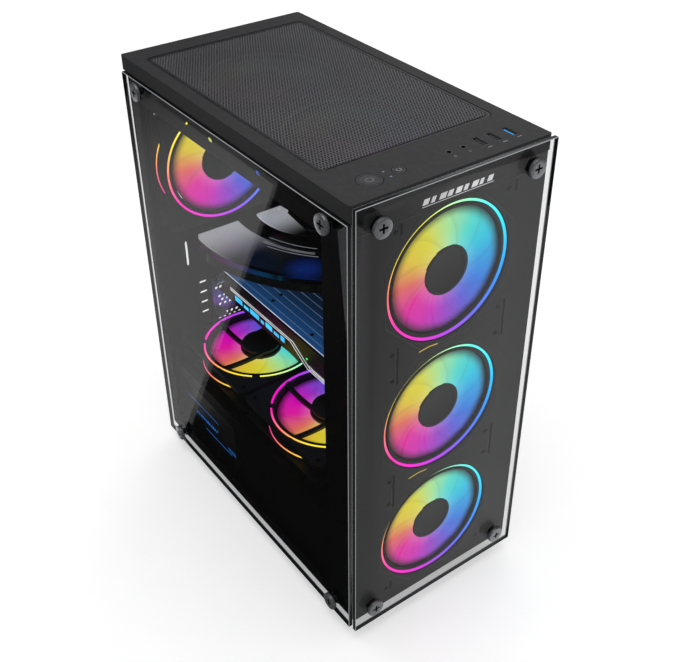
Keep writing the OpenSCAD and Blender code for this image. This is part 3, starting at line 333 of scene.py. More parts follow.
def glass_face(name, stop, rough):
    material, tree, shader = new_material(name)
    place = put(tree, "TexCoord").outputs["Object"]
    smear = put(tree, "TexNoise", {"Vector": place, "Scale": 9.0, "Detail": 3.0}).outputs["Fac"]
    tree.links.new(ease(tree, smear, 0.3, 0.8, rough * 0.6, rough * 1.6), shader.inputs["Roughness"])
    shader.inputs["Base Color"].default_value = (0.004, 0.004, 0.0045, 1)
    shader.inputs["IOR"].default_value = 2.6
    shader.inputs["Alpha"].default_value = stop
    return material


def dress(node, material):
    """Gives a CAD part its material."""
    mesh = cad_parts[node].data
    mesh.materials.clear()
    mesh.materials.append(material)


# ---------------------------------------------------------------- modelling


def only(*pieces):
    bpy.ops.object.select_all(action="DESELECT")
    for piece in pieces:
        piece.select_set(True)
    bpy.context.view_layer.objects.active = pieces[0]
    return pieces[0]


def start(primitive, **values):
    """Adds a primitive with nothing else selected."""
    bpy.ops.object.select_all(action="DESELECT")
    primitive(**values)
    return bpy.context.object


def fix(piece, **place):
    """Sets scale, turn or place and applies them."""
    for key, value in place.items():
        setattr(piece, key, value)
    only(piece)
    bpy.ops.object.transform_apply(location=True, rotation=True, scale=True)
    return piece


def pick(piece, kind, test):
    """Opens a piece in edit mode with only the vertices, edges or faces that pass the test selected."""
    only(piece)
    bpy.ops.object.mode_set(mode="EDIT")
    bpy.context.tool_settings.mesh_select_mode = (kind == "VERT", kind == "EDGE", kind == "FACE")
    bpy.ops.mesh.select_all(action="DESELECT")
    mesh = bmesh.from_edit_mesh(piece.data)
    for part in {"VERT": mesh.verts, "EDGE": mesh.edges, "FACE": mesh.faces}[kind]:
        part.select_set(bool(test(part)))
    mesh.select_flush_mode()
    bmesh.update_edit_mesh(piece.data)


def close():
    bpy.ops.object.mode_set(mode="OBJECT")


def modify(piece, kind, **values):
    only(piece)
    bpy.ops.object.modifier_add(type=kind)
    modifier = piece.modifiers[-1]
    for key, value in values.items():
        setattr(modifier, key, value)
    bpy.ops.object.modifier_apply(modifier=modifier.name)
    return piece


def tidy_normals(piece):
    pick(piece, "VERT", lambda v: True)
    bpy.ops.mesh.remove_doubles(threshold=0.00001)
    bpy.ops.mesh.normals_make_consistent(inside=False)
    close()
    return piece


def block(low, high, round_by=0.0, steps=2):
    """A block between two corners with its edges rounded."""
    piece = start(bpy.ops.mesh.primitive_cube_add, size=1)
    fix(piece, scale=Vector(high) - Vector(low), location=(Vector(high) + Vector(low)) / 2)
    if round_by:
        modify(piece, "BEVEL", width=round_by, segments=steps, limit_method="NONE")
    return piece


def disc(radius, low, high, sides=48, round_by=0.0):
    piece = start(bpy.ops.mesh.primitive_cylinder_add, vertices=sides, radius=radius, depth=high - low)
    fix(piece, location=(0, 0, (low + high) / 2))
    if round_by:
        modify(piece, "BEVEL", width=round_by, segments=2, limit_method="ANGLE")
    return piece


def ring(inner, outer, low, high, begin=0.0, sweep=360.0, steps=96):
    """A ring, or part of one, spun from its section about the upright axis."""
    piece = start(bpy.ops.mesh.primitive_plane_add, size=1)
    fix(piece, rotation_euler=(math.pi / 2, 0, 0))
    fix(piece, scale=(outer - inner, 1, high - low), location=((inner + outer) / 2, 0, (low + high) / 2))
    fix(piece, rotation_euler=(0, 0, math.radians(begin)))
    pick(piece, "FACE", lambda f: True)
    bpy.ops.mesh.delete(type="ONLY_FACE")
    bpy.ops.mesh.select_all(action="SELECT")
    bpy.ops.mesh.spin(steps=steps, angle=-math.radians(sweep), center=(0, 0, 0), axis=(0, 0, 1))
    bpy.ops.mesh.select_all(action="SELECT")
    if sweep < 360:
        bpy.ops.mesh.fill_holes(sides=4)
        bpy.ops.mesh.select_all(action="SELECT")
    bpy.ops.mesh.remove_doubles(threshold=0.00001)
    bpy.ops.mesh.normals_make_consistent(inside=False)
    close()
    return piece


def trail(points, wide, thick, along="y", up=(0, 0, 1)):
    """A thin raised line: a small square whose leading edge is drawn out from point to point, then given its thickness."""
    points = [Vector(p) for p in points]
    piece = start(bpy.ops.mesh.primitive_plane_add, size=wide)
    if abs(up[1]) > 0.5:
        fix(piece, rotation_euler=(math.pi / 2, 0, 0))
    if abs(up[0]) > 0.5:
        fix(piece, rotation_euler=(0, math.pi / 2, 0))
    fix(piece, location=points[0])
    axis = {"x": 0, "y": 1, "z": 2}[along]
    sign = 1 if points[1][axis] >= points[0][axis] else -1
    limit = sign * points[0][axis] + wide * 0.4
    pick(piece, "EDGE", lambda e: all(sign * v.co[axis] > limit for v in e.verts))
    for before, after in zip(points, points[1:]):
        bpy.ops.mesh.extrude_region_move(TRANSFORM_OT_translate={"value": after - before})
    close()
    modify(piece, "SOLIDIFY", thickness=thick, offset=0)
    return tidy_normals(piece)


def band(wide, deep, radius, border, thick, place, segments=6):
    """A flat frame with rounded corners: a plate, its corners rounded and its middle cut out, given its thickness."""
    piece = start(bpy.ops.mesh.primitive_plane_add, size=1)
    fix(piece, scale=(wide, deep, 1))
    pick(piece, "VERT", lambda v: True)
    bpy.ops.mesh.bevel(offset=radius, segments=segments, affect="VERTICES")
    bpy.ops.mesh.select_all(action="SELECT")
    bpy.ops.mesh.inset(thickness=border)
    bpy.ops.mesh.delete(type="FACE")
    close()
    modify(piece, "SOLIDIFY", thickness=thick, offset=0)
    return fix(piece, location=place)


def copy_of(piece, **place):
    only(piece)
    bpy.ops.object.duplicate()
    made = bpy.context.object
    return fix(made, **place) if place else made


def joined(*pieces):
    only(*pieces)
    if len(pieces) > 1:
        bpy.ops.object.join()
    return pieces[0]


def cut(piece, cutter):
    modify(piece, "BOOLEAN", object=cutter, operation="DIFFERENCE", solver="EXACT")
    bpy.data.objects.remove(cutter)
    return piece


def paint(piece, *materials):
    piece.data.materials.clear()
    for material in materials:
        piece.data.materials.append(material)
    return piece


def settle(piece, name, body, stands_for=(), smooth=30):
    """Names a finished piece, smooths it and makes it ride on its body."""
    fix(piece)
    bpy.ops.object.shade_smooth_by_angle(angle=math.radians(smooth))
    piece.name = piece.data.name = name
    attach(piece, body)
    if stands_for:
        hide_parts(*stands_for)
    return piece


# ---------------------------------------------------------------- camera and stage


class TOWER_OT_camera(bpy.types.Operator):
    """Places the camera"""
    bl_idname = "tower.camera"
    bl_label = "Camera"

    def execute(self, context):
        camera = start(bpy.ops.object.camera_add)
        camera.location = (-0.4204, -0.6152, 0.7471)
        look = Vector((0.48489, 0.65938, -0.57454)).to_track_quat("-Z", "Y")
        camera.rotation_euler = look.to_euler()
        camera.rotation_euler.rotate_axis("Z", math.radians(-0.15))
        camera.data.lens = 52.03
        camera.data.sensor_width = 36
        camera.data.shift_x = -0.0054
        camera.data.shift_y = -0.0322
        camera.data.clip_start = 0.01
        context.scene.camera = camera
        context.scene.view_settings.view_transform = "Standard"
        return {"FINISHED"}


class TOWER_OT_stage(bpy.types.Operator):
    """Sets the pale floor, the soft lights and the plain surroundings"""
    bl_idname = "tower.stage"
    bl_label = "Stage"

    def execute(self, context):
        floor = start(bpy.ops.mesh.primitive_grid_add, x_subdivisions=8, y_subdivisions=8, size=14)
        floor.name = "studio_floor"
        paint(floor, finish("studio floor", (0.95, 0.95, 0.95, 1), (0.97, 0.97, 0.97, 1), (0.7, 0.9), 40.0,
                            Emission_Color=(1, 1, 1, 1), Emission_Strength=0.45))
        floor.visible_glossy = floor.visible_diffuse = False
        # Pale cards under the floor that only gloss mirrors: the side glass sees the first, the front glass the second
        cards = []
        for corners in (((-0.62, 0.728), (-0.05, 0.110), (-0.05, 1.4), (-0.62, 1.4)),
                        ((-0.088, -1.5), (1.1, -1.5), (1.1, -0.172), (-0.088, -0.172))):
            card = start(bpy.ops.mesh.primitive_plane_add, size=1, location=(0, 0, -0.012))
            fix(card)
            pick(card, "VERT", lambda v: False)
            bpy.ops.mesh.select_all(action="SELECT")
            mesh = bmesh.from_edit_mesh(card.data)
            for corner, v in zip(corners, sorted(mesh.verts, key=lambda v: math.atan2(v.co.y, v.co.x))):
                v.co.x, v.co.y = corner
            bmesh.update_edit_mesh(card.data)
            close()
            cards.append(card)
        names = ("mirror_card_side", "mirror_card_front")
        # The way the light of each card changes, where that starts and ends, and its level there
        ramps = (((0, 1), 0.6, 1.15, 1.0, 0.3), ((1, 0.9), -0.34, -0.02, 0.3, 0.85))
        for card, name, (way, *stops) in zip(cards, names, ramps):
            card.name = name
            material, tree, shader = new_material(name.replace("_", " "))
            place = put(tree, "SeparateXYZ", {0: put(tree, "TexCoord").outputs["Object"]})
            parts = [sum_of(tree, "MULTIPLY", place.outputs[axis], share) for axis, share in zip("XY", way)]
            level = ease(tree, sum_of(tree, "ADD", *parts), *stops)
            tree.links.new(blend_of(tree, level, (0, 0, 0, 1), (1, 1, 1, 1)), shader.inputs["Emission Color"])
            shader.inputs["Base Color"].default_value = (0, 0, 0, 1)
            shader.inputs["Emission Strength"].default_value = 1.1
            paint(card, material)
            card.visible_camera = card.visible_diffuse = card.visible_shadow = False
        for name, place, size, power in (("overhead", (-0.2, -0.1, 2.8), 2.6, 23),
                                         ("left_front", (-2.3, -2.3, 1.7), 1.6, 4),
                                         ("right_rear", (2.2, 1.8, 1.9), 1.8, 8)):
            lamp = start(bpy.ops.object.light_add, type="AREA", location=place)
            lamp.name, lamp.data.shape, lamp.data.size, lamp.data.energy = name, "DISK", size, power
            lamp.rotation_euler = (Vector((0, 0, 0.2)) - Vector(place)).to_track_quat("-Z", "Y").to_euler()
        world = bpy.data.worlds.new("studio")
        world.use_nodes = True
        context.scene.world = world
        tree = world.node_tree
        rays = put(tree, "LightPath")
        pale = tree.nodes["Background"]
        pale.inputs["Color"].default_value = (1, 1, 1, 1)
        pale.inputs["Strength"].default_value = 0.4
        dim = put(tree, "Background", {"Color": (1, 1, 1, 1), "Strength": 0.03})
        seen = put(tree, "Background", {"Color": (1, 1, 1, 1), "Strength": 1.0})
        by_gloss = put(tree, "MixShader", {0: rays.outputs["Is Glossy Ray"], 1: pale.outputs[0], 2: dim.outputs[0]})
        by_eye = put(tree, "MixShader", {0: rays.outputs["Is Camera Ray"], 1: by_gloss.outputs[0], 2: seen.outputs[0]})
        tree.links.new(by_eye.outputs[0], tree.nodes["World Output"].inputs["Surface"])
        return {"FINISHED"}


# ---------------------------------------------------------------- case


class TOWER_OT_case(bpy.types.Operator):
    """Gives the steel case, its feet and its right panel their paint"""
    bl_idname = "tower.case"
    bl_label = "Case"

    def execute(self, context):
        # Black paint, made darker still as painted shade for the dark inside of the case
        steel = shades(context.scene.tower_looks.steel, 0.8, 1.4)
        steel_paint_and_shade = finish("steel paint and painted shade", *steel, (0.42, 0.6), 1500.0, bump=0.02, dusty=0.004, Specular_IOR_Level=0.08)
        for node in ("chassis_floor", "motherboard_tray", "side_frame", "top_frame", "rear_panel", "right_panel", "psu_shroud"):
            dress(node, steel_paint_and_shade)
        dress("feet", finish("foot plastic", *near("#161617"), (0.5, 0.7), 700.0, bump=0.15))
        bare = finish("slot cover steel", *near("#9a9c9f"), (0.25, 0.4), 400.0, (1, 1, 12), 0.05, Metallic=1.0)
        dress("slot_cover", bare)
        return {"FINISHED"}


class TOWER_OT_front_panel(bpy.types.Operator):
    """Adds the outlines, bars and glints on the panel behind the front glass"""
    bl_idname = "tower.front_panel"
    bl_label = "Front panel"

    def execute(self, context):
        paints = shades(context.scene.tower_looks.panel, 0.85, 1.12)
        dress("front_frame", finish("front panel paint", *paints, (0.5, 0.65), 1800.0, bump=0.1))
        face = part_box("front_frame")[0].y - 0.00015
        dark = finish("panel groove", *near("#4c4c50"), (0.5, 0.6))
        pieces = []
        for fan in FANS[:3]:
            centre = middle_of(fan + "_frame")
            outline = start(bpy.ops.mesh.primitive_circle_add, vertices=8, radius=0.0655, fill_type="NGON")
            fix(outline, rotation_euler=(0, 0, math.radians(22.5)))
            pick(outline, "FACE", lambda f: True)
            bpy.ops.mesh.inset(thickness=0.0007)
            bpy.ops.mesh.delete(type="FACE")
            close()
            modify(outline, "SOLIDIFY", thickness=0.0002, offset=0)
            pieces.append(fix(outline, rotation_euler=(math.pi / 2, 0, 0), location=(centre.x, face, centre.z)))
        # Seam where the panel's top flange folds
        low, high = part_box("front_frame")

        def strip(left, right, z_low, z_high):
            """A raised line on the panel's face."""
            return block((left, face - 0.0001, z_low), (right, face + 0.0001, z_high), 0.00005)

        pieces.append(strip(low.x, high.x, high.z - 0.0128, high.z - 0.0122))
        centres = [middle_of(fan + "_frame").z for fan in FANS[:3]]
        half = 0.017
        for x in (-47.8, 59.5):
            for z in ((centres[0] + centres[1]) / 2, (centres[1] + centres[2]) / 2):
                pieces.append(strip(at(x - 2.2, 0, 0).x, at(x - 1.3, 0, 0).x, z - half, z + half))
        settle(paint(joined(*pieces), dark), "front_panel_outlines", "case")
        # Plain slanted bars and a thin line in place of the printed words
        light = lit_line("panel print", "#f0f0f2", 0.95)
        bars = []
        for i, wide in enumerate((5.0, 3.4, 5.8, 4.4, 5.2, 3.8, 5.6, 3.4, 4.8)):
            bar = strip(at(-30 + i * 7.4, 0, 0).x, at(-30 + i * 7.4 + wide, 0, 0).x, 0.4128, 0.4172)
            pick(bar, "FACE", lambda f: f.normal.y < -0.9)
            bpy.ops.mesh.inset(thickness=0.0008)
            bpy.ops.mesh.extrude_region_move(TRANSFORM_OT_translate={"value": (0, 0.0001, 0)})
            close()
            pick(bar, "VERT", lambda v: v.co.z > 0.415)
            bpy.ops.transform.translate(value=(0.0017, 0, 0))
            close()
            bars.append(bar)
        rule = strip(at(-30, 0, 0).x, at(36, 0, 0).x, 0.4112, 0.4116)
        settle(paint(joined(*bars, rule), light), "front_panel_bars", "case")
        glow = lit_line("yellow glint", "#e8c84a", 0.9)
        arcs = []
        for x0, x1, z in ((-26.7, -9.1, 286.7), (-31.6, -13.5, 157.7)):
            bow = [at(x0, -165.4, z), at((x0 + x1) / 2, -165.4, z + 1.0), at(x1, -165.4, z)]
            arcs.append(trail(bow, 0.0008, 0.0002, "x", (0, 1, 0)))
        settle(paint(joined(*arcs), glow), "front_panel_glints", "case")
        return {"FINISHED"}


# ---------------------------------------------------------------- top cover and its controls


class TOWER_OT_cover(bpy.types.Operator):
    """Gives the top cover its moulded finish"""
    bl_idname = "tower.cover"
    bl_label = "Top cover"

    def execute(self, context):
        greys = shades(context.scene.tower_looks.plastic, 0.85, 1.15)
        moulded = finish("cover plastic", *greys, (0.5, 0.65), 2200.0, bump=0.12, dusty=0.04, Specular_IOR_Level=0.3)
        dress("top_cover", moulded)
        return {"FINISHED"}


class TOWER_OT_dust_filter(bpy.types.Operator):
    """Makes the lift-off dust filter: a perforated sheet in a narrow frame"""
    bl_idname = "tower.dust_filter"
    bl_label = "Dust filter"

    def execute(self, context):
        looks = context.scene.tower_looks
        low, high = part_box("dust_filter")
        pitch = looks.hole_pitch
        side = pitch / math.sqrt(3)
        sheet = finish("filter mesh", *near("#68686b", 0.2), (0.45, 0.6), 1500.0, bump=0.1, dusty=0.1, Metallic=0.2)
        middle = (low.y + high.y) / 2
        across = int((high.x - low.x - 0.004) / pitch)
        pairs = int((high.y - low.y - 0.004) / 2 / (3 * side))
        for index, y0 in enumerate((middle - pairs * 3 * side, middle)):
            cell = start(bpy.ops.mesh.primitive_circle_add, vertices=6, radius=side, fill_type="NGON")
            pick(cell, "FACE", lambda f: True)
            bpy.ops.mesh.inset(thickness=looks.hole_web)
            bpy.ops.mesh.delete(type="FACE")
            close()
            repeat = {"use_relative_offset": False, "use_constant_offset": True,
                      "use_merge_vertices": True, "merge_threshold": 0.00005}
            modify(cell, "ARRAY", count=across, constant_offset_displace=(pitch, 0, 0), **repeat)
            modify(cell, "ARRAY", count=2, constant_offset_displace=(pitch / 2, 1.5 * side, 0), **repeat)
            modify(cell, "ARRAY", count=pairs, constant_offset_displace=(0, 3 * side, 0), **repeat)
            modify(cell, "SOLIDIFY", thickness=0.0005, offset=0)
            fix(cell, location=((low.x + high.x) / 2 - across * pitch / 2 + pitch / 4, y0 + side, high.z - 0.0004))
            name, stands_for = (("filter_mesh_front", ("dust_filter",)), ("filter_mesh_rear", ()))[index]
            settle(paint(cell, sheet), name, "dust_filter", stands_for, 20)
        size = high - low
        frame_band = band(size.x - 0.0004, size.y - 0.0004, 0.0078, 0.0034, size.z - 0.0002, (low + high) / 2)
        modify(frame_band, "BEVEL", width=0.0002, segments=2, limit_method="ANGLE")
        rim = finish("filter frame plastic", *near("#29292b"), (0.4, 0.5), 1800.0, bump=0.1, dusty=0.08)
        settle(paint(frame_band, rim), "filter_frame", "dust_filter")
        return {"FINISHED"}


class TOWER_OT_controls(bpy.types.Operator):
    """Makes the signs and rings of the buttons and dresses the sockets beside them"""
    bl_idname = "tower.controls"
    bl_label = "Front controls"

    def execute(self, context):
        button = finish("button plastic", *near("#3a3a3d"), (0.35, 0.5), 2200.0, bump=0.1, dusty=0.06)
        dress("power_button", button)
        dress("reset_button", button)
        dress("front_io_board", finish("green lacquer", *near("#123a22"), (0.3, 0.45), 500.0))
        dress("usb_ports", finish("socket shell", *near("#4a4b4e"), (0.3, 0.4), 600.0, Metallic=0.4))
        dress("audio_jacks", finish("socket plastic", *near("#0d0d0e"), (0.3, 0.45), 900.0))
        dress("status_leds", lit_line("indicator", "#9aa4b8", 0.5))
        marks = lit_line("control print", "#a4a6aa", 0.6)
        for node, radius in (("power_button", 2.6), ("reset_button", 1.7)):
            symbol = ring(radius * MM, (radius + 0.35) * MM, 0, 0.00012, 122, 296, 32)
            if node == "power_button":
                symbol = joined(symbol, block((-0.00018, 0.0008, 0), (0.00018, 0.0032, 0.00012), 0.00004))
            centre = middle_of(node)
            fix(symbol, location=(centre.x, centre.y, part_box(node)[1].z - 0.00005))
            settle(paint(symbol, marks), node + "_sign", node)
        top = COVER_HIGH.z
        signs = []
        low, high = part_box("audio_jacks")
        for x in (low.x + 0.0032, high.x - 0.0032):
            sign = ring(0.0009, 0.00122, 0, 0.0001, 10, 300, 20)
            signs.append(fix(sign, location=(x, low.y - 0.0042, top - 0.00004)))
        low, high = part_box("usb_ports")
        step = ((high.x - low.x) - 0.0054) / 2
        for i in range(3):
            x = low.x + 0.0027 + step * i
            signs.append(block((x - 0.0022, low.y - 0.0042, top - 0.00004), (x + 0.0022, low.y - 0.0034, top + 0.00006), 0.00003))
        settle(paint(joined(*signs), marks), "socket_signs", "case")
        # The blue tongue gives off its own colour as a painted glow; the dark tongues give off none
        for name, sockets, shade, light in (("dark_tongues", (0, 13.3), "#0a0a0b", 0.0),
                                            ("blue_tongue_painted_glow", (28.8,), "#1593d8", 1.0)):
            caps = []
            for offset in sockets:
                edge = low.x + offset * MM
                caps.append(block((edge + 0.0026, low.y + 0.0009, top - 0.009),
                                  (edge + 0.0049, high.y - 0.0009, top - 0.0012), 0.00015))
            plastic = finish(name.replace("_", " "), *near(shade), (0.35, 0.5), 900.0,
                             Emission_Color=colour(shade), Emission_Strength=light)
            settle(paint(joined(*caps), plastic), name, "case")
        return {"FINISHED"}


# ---------------------------------------------------------------- fans


class TOWER_OT_fans(bpy.types.Operator):
    """Makes the lit rotors and light rings of the eight case fans"""
    bl_idname = "tower.fans"
    bl_label = "Case fans"

    def rotor(self, looks, level, hub_material, blade_material):
        hub = disc(0.0207, -0.0205, -0.002, 64)
        pick(hub, "FACE", lambda f: f.normal.z > 0.9)
        bpy.ops.mesh.inset(thickness=0.0032)
        bpy.ops.mesh.extrude_region_move(TRANSFORM_OT_translate={"value": (0, 0, -0.0006)})
        close()
        modify(hub, "BEVEL", width=0.0005, segments=2, limit_method="ANGLE")
        paint(hub, hub_material)
        blade = start(bpy.ops.mesh.primitive_plane_add, size=0.0318)
        pick(blade, "VERT", lambda v: v.co.y > 0)
        bpy.ops.mesh.delete(type="VERT")
        bpy.ops.mesh.select_all(action="SELECT")
        bpy.ops.mesh.subdivide(number_cuts=7)
        bpy.ops.transform.translate(value=(0.0358, 0.0159, 0))
        mesh = bmesh.from_edit_mesh(blade.data)
        # The leading edge sweeps forward as it goes out, and droops a little
        for v in mesh.verts:
            reach = max(0.0, (v.co.x - 0.0199) / 0.0318)
            turn = math.radians(26) * reach ** 1.3
            v.co = Vector((v.co.x * math.cos(turn), v.co.x * math.sin(turn), level - 0.0002 * reach))
        bmesh.update_edit_mesh(blade.data)
        close()
        modify(blade, "SCREW", axis="Z", angle=looks.blade_turn, screw_offset=-looks.blade_drop,
               steps=9, render_steps=9, use_merge_vertices=True)
        modify(blade, "SOLIDIFY", thickness=0.0004, offset=0)
        tidy_normals(blade)
        paint(blade, blade_material)
        pitch = 2 * math.pi / looks.blade_count
        others = [copy_of(blade, rotation_euler=(0, 0, pitch * i)) for i in range(1, looks.blade_count)]
        return joined(hub, blade, *others)

    def rings(self, depth):
        parts = [ring(0.0560, 0.0578, -0.0014, -0.0001)]
        for quarter in range(4):
            parts.append(ring(0.0561, 0.0577, -0.0252, -0.0238, -49 + 90 * quarter, 82, 22))
            parts.append(ring(0.0588, 0.0600, depth - 0.0007, depth + 0.0007, -30 + 90 * quarter, 60, 20))
        return joined(*parts)

    def execute(self, context):
        looks = context.scene.tower_looks
        hub_plastic = finish("fan hub plastic", *near("#222225"), (0.45, 0.6), 1500.0, bump=0.1)
        frame_plastic = finish("fan frame plastic", *near("#0c0c0d"), (0.45, 0.6), 1300.0, bump=0.1)
        for fan in FANS:
            dress(fan + "_frame", frame_plastic)
            kind = fan.split("_")[0]
            low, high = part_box(fan + "_frame")
            centre = (low + high) / 2
            turn = FACING[kind][0]
            face = {"front": Vector((centre.x, low.y, centre.z)), "rear": Vector((centre.x, low.y, centre.z)),
                    "top": Vector((centre.x, centre.y, high.z)), "shroud": Vector((centre.x, centre.y, low.z))}[kind]
            seen = 0.04 if kind == "top" else 1.0
            blades = wheel_light(fan + " blades", fan, looks.glow * seen)
            level = -0.0172 if kind == "shroud" else -0.0025
            rotor = fix(self.rotor(looks, level, hub_plastic, blades), rotation_euler=turn, location=face)
            settle(rotor, fan + "_blades", fan, (fan + "_rotor",))
            light = wheel_light(fan + " rings", fan, looks.ring_glow * seen, 1.0, 0.0, (0.07, 0.08))
            rings = fix(self.rings(-0.0091 if kind == "shroud" else -0.0172), rotation_euler=turn, location=face)
            settle(paint(rings, light), fan + "_rings", "case", ("fan_lights",) if fan == FANS[0] else ())
        return {"FINISHED"}


# ---------------------------------------------------------------- cooling hood and boards


class TOWER_OT_boards(bpy.types.Operator):
    """Dresses the motherboard, its memory and what stands on it"""
    bl_idname = "tower.boards"
    bl_label = "Boards"

    def execute(self, context):
        dress("motherboard", finish("board lacquer", *near("#0e0f11"), (0.3, 0.5), 500.0, bump=0.1))
        dress("board_components", finish("component plastic", *near("#17181b"), (0.4, 0.6), 700.0))
        dress("memory_modules", finish("memory spreader", *near("#1b1c1f"), (0.3, 0.45), 600.0, (1, 12, 1), Metallic=0.7))
        dress("rear_io_ports", finish("port metal", *near("#a4a6aa"), (0.25, 0.4), 500.0, Metallic=1.0))
        dress("cpu_cooler", finish("fin metal", *near("#8f9295"), (0.25, 0.4), 500.0, (1, 1, 10), Metallic=1.0))
        return {"FINISHED"}


class TOWER_OT_cooling_hood(bpy.types.Operator):
    """Makes the stepped half-round hood glossy, with the painted reflection on its plates fading toward the front, its
    lines and glow
    """
    bl_idname = "tower.cooling_hood"
    bl_label = "Cooling hood"

    def silver_with_painted_reflection(self, name, clear, gone, painted_glows):
        """Brushed silver with a painted reflection: it turns black toward the front, in its colour and in a grey
        painted glow, with painted coloured glows over it.
        """
        material, tree, shader = new_material(name)
        surface = put(tree, "Group", node_tree=fine_grain())
        feed(surface, {"Dark": colour("#9a9ca0"), "Light": colour("#d2d4d7"), "Smooth": 0.25, "Rough": 0.42,
                       "Scale": 300.0, "Stretch": (1, 8, 1), "Bump": 0.04})
        along = put(tree, "SeparateXYZ", {0: put(tree, "TexCoord").outputs["Object"]}).outputs["Y"]
        # Painted reflection: silver at the rear fading to black toward the front
        fade = ease(tree, along, at(0, gone, 0).y, at(0, clear, 0).y)
        tree.links.new(blend_of(tree, fade, (0.004, 0.004, 0.005, 1), surface.outputs["Colour"]), shader.inputs["Base Color"])
        tree.links.new(surface.outputs["Roughness"], shader.inputs["Roughness"])
        tree.links.new(surface.outputs["Normal"], shader.inputs["Normal"])
        shader.inputs["Metallic"].default_value = 0.55
        # Grey painted glow of the reflection, fading the same way
        shine = blend_of(tree, fade, (0, 0, 0, 1), colour("#a4a6aa"))
        # Each painted glow adds its colour to the plate's emission
        for centre, core, reach, tint, squeeze in painted_glows:
            mask = put(tree, "Group", node_tree=painted_glow_pool())
            feed(mask, {"Centre": centre, "Core": core * MM, "Reach": reach * MM, "Squeeze": squeeze})
            shine = blend_of(tree, mask.outputs["Mask"], shine, colour(tint), "ADD")
        tree.links.new(shine, shader.inputs["Emission Color"])
        shader.inputs["Emission Strength"].default_value = 1.0
        return material

    def execute(self, context):
        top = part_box("hood_lower_plate")[1].z
        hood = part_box("hood_body")
        gloss = finish("hood gloss", *near("#0c0c0e", 0.3), (0.12, 0.22), 400.0, bump=0.02, Coat_Weight=0.6, Coat_Roughness=0.08)
        dress("hood_body", gloss)
        # Painted glows on the lower plate: a broad dark blue pool of light and a small bright cyan spot
        dress("hood_lower_plate", self.silver_with_painted_reflection("lower plate silver painted reflection", 150, 84, (
            (at(6, 36, 240), 0, 27, "#0a256c", (1, 1, 1)), (at(0.3, 37.7, 240), 0.6, 4.5, "#5fd8ff", (1, 1, 1)))))
        dress("hood_upper_plate", self.silver_with_painted_reflection("upper plate silver painted reflection", 112, 70, ()))
        lines = []
        for radius, begin, sweep in ((113.5, 196, 26), (121.5, 196, 26), (123.5, 196, 26), (127.5, 200, 24)):
            line = ring(radius * MM, (radius + 0.45) * MM, 0, 0.0003, begin, sweep, 24)
            lines.append(fix(line, location=at(HOOD[0], HOOD[1], top * 1000 + 0.1)))
        settle(paint(joined(*lines), lit_line("hood print", "#b8bec8", 0.6)), "hood_lines", "case")
        rim_low = hood[0].z
        halo = ring(0.158, 0.1688, 0, 0.0012, 188, 60, 48)
        fix(halo, location=at(HOOD[0], HOOD[1], rim_low * 1000 - 1.6))
        settle(paint(halo, lit_line("hood halo", "#5a34d8", 1.5)), "hood_halo", "case")
        return {"FINISHED"}


